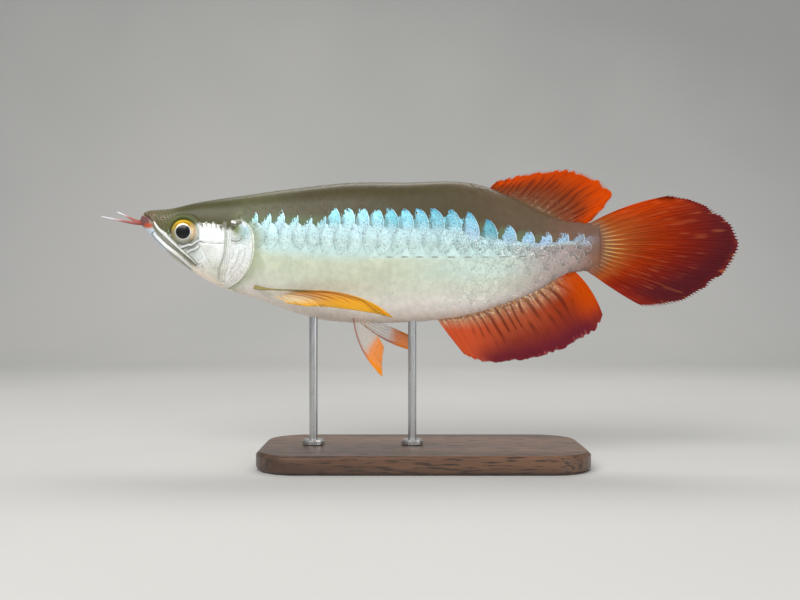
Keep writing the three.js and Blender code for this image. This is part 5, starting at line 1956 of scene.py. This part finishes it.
for side_name, side in SIDES.items():
    fin_piece(
        f"pectoral_sail_{side_name}", f"pectoral_fin_{side_name}", on_side(PECTORAL_ROOT, side),
        on_side(PECTORAL_EDGE, side), on_side(PECTORAL_BOW, side), 8, 80, pectoral_tint, half_clear,
        (0.7, 0.3, 0.1), wave=0.3, notch=0.8, columns=18, late=0.9,
    )
fin_piece(
    "pelvic_sail_left", "pelvic_fin_left", [(79.8, -2.6, -27.2), (85, -2.6, -27.2)],
    [(91.4, -7.5, -49.8), (91.2, -7, -45.8), (91.6, -6.5, -42), (92.2, -6, -39)],
    [(-4.6, -0.6, -1.6), (0.6, 0, 0)], 6, 60, pelvic_tint, nearly_clear, (0.6, 0.28, 0.1),
    wave=0.2, notch=0.6, columns=18,
)
fin_piece(
    "pelvic_sail_right", "pelvic_fin_right", [(80.4, 2.6, -27.2), (85.6, 2.6, -27.2)],
    [(104.6, 9.5, -41), (104, 9, -38.2), (103.2, 8.4, -36), (101.4, 7.8, -34.4)],
    [(-1.8, 0.8, -3.6), (0, 0.2, 0.6)], 6, 60, pelvic_tint, nearly_clear, (0.6, 0.28, 0.1),
    wave=0.2, notch=0.6, columns=18,
)

# %% [markdown]
# The fish swims in water, so a plain stand holds the model: a dark wooden base and two steel rods.
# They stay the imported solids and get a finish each.

# %% Stand finishes
def wood_material():
    """Dark walnut: growth bands along the length, drawn out noise for the pores, and a satin coat."""
    material, tree, shader = new_material("walnut", Coat_Weight=0.25, Coat_Roughness=0.3)
    long_place = stretched(tree, object_place(tree), (0.09, 1.0, 1.0))
    bands = noise(tree, long_place, 90.0, 5.0)
    pores = noise(tree, long_place, 1300.0, 3.0)
    colour = blended(tree, ramped(tree, bands, 0.35, 0.65), as_colour(66, 44, 32), as_colour(108, 76, 54))
    colour = blended(tree, ramped(tree, pores, 0.5, 0.64), colour, as_colour(44, 30, 22))
    feed(tree, shader, Base_Color=colour, Roughness=ramped(tree, pores, 0.4, 0.7, 0.38, 0.55))
    bumped(tree, shader, pores, 0.06)
    return material


def steel_material():
    """Brushed steel: roughness and fine relief drawn out along the rod."""
    material, tree, shader = new_material("brushed_steel", Metallic=1.0)
    brush = noise(tree, stretched(tree, object_place(tree), (1.0, 1.0, 0.05)), 2600.0, 3.0)
    colour = blended(tree, brush, as_colour(168, 170, 172), as_colour(206, 206, 204))
    feed(tree, shader, Base_Color=colour, Roughness=ramped(tree, brush, 0.3, 0.7, 0.24, 0.4))
    bumped(tree, shader, brush, 0.01)
    return material


walnut = wood_material()
steel = steel_material()
for node, finish in (("stand_base", walnut), ("stand_rod_front", steel), ("stand_rod_rear", steel)):
    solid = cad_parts[node]
    solid.data.materials.clear()
    solid.data.materials.append(finish)
print("stand finished")

# %% [markdown]
# The stage is one pale sheet that is the floor and bends up behind as a backdrop, with no corner.
# Large soft lamps light it as a studio does: one in front and above, a fill, and one from behind
# over the back so that the fins glow at their edges.

# %% Stage and lights
def backdrop():
    """A sheet swept across the scene: flat floor, a quarter circle, then an upright wall. Its
    lengths are in metres."""
    turn = np.linspace(0, np.pi / 2, 24)
    near, far, bend, top, reach = -1.2, 0.55, 0.35, 1.8, 2.2
    depth = np.concatenate([[near], far + bend * np.sin(turn), [far + bend]])
    rise = np.concatenate([[0.0], bend - bend * np.cos(turn), [top]])
    across = np.linspace(-reach, reach, 12)
    x, y = np.meshgrid(across, depth)
    z = np.broadcast_to(rise[:, None], x.shape)
    mesh = bpy.data.meshes.new("backdrop")
    corners = np.stack([x, y, z], axis=-1).reshape(-1, 3)
    mesh.from_pydata(corners.tolist(), [], grid_faces(*x.shape).tolist())
    mesh.shade_smooth()
    sheet = added("backdrop", mesh)
    material, tree, shader = new_material("pale_paper", Roughness=0.85)
    tone = ramped(tree, noise(tree, object_place(tree), 3.0), 0.3, 0.7)
    paper = blended(tree, tone, as_colour(182, 182, 179), as_colour(190, 189, 186))
    feed(tree, shader, Base_Color=paper)
    mesh.materials.append(material)


def lamp(name, place, target, size, power, colour=(1.0, 1.0, 1.0)):
    """A square soft lamp that faces its target."""
    data = bpy.data.lights.new(name, "AREA")
    data.shape = "RECTANGLE"
    data.size, data.size_y = size
    data.energy = power
    data.color = colour
    light = added(name, data)
    way = np.array(target, float) - np.array(place, float)
    light.location = place
    flat = np.hypot(way[0], way[1])
    light.rotation_euler = (np.arctan2(flat, -way[2]), 0, np.arctan2(-way[0], way[1]))


backdrop()
MIDDLE = (0.0, 0.0, 0.075)
lamp("key_lamp", (-0.32, -0.62, 0.62), MIDDLE, (0.7, 0.5), 8.0, (1.0, 0.98, 0.95))
lamp("fill_lamp", (0.65, -0.6, 0.18), MIDDLE, (0.6, 0.6), 2.4, (0.93, 0.97, 1.0))
lamp("back_lamp", (0.1, 0.38, 0.75), MIDDLE, (0.8, 0.3), 4.0, (1.0, 0.97, 0.94))
world = bpy.data.worlds.new("soft_sky")
world.use_nodes = True
world.node_tree.nodes["Background"].inputs["Color"].default_value = (0.9, 0.94, 1.0, 1.0)
world.node_tree.nodes["Background"].inputs["Strength"].default_value = 0.35
bpy.context.scene.world = world
print("stage and lamps ready")

# %% [markdown]
# Last, the view layer is brought up to date.

# %% Finish
bpy.context.view_layer.update()
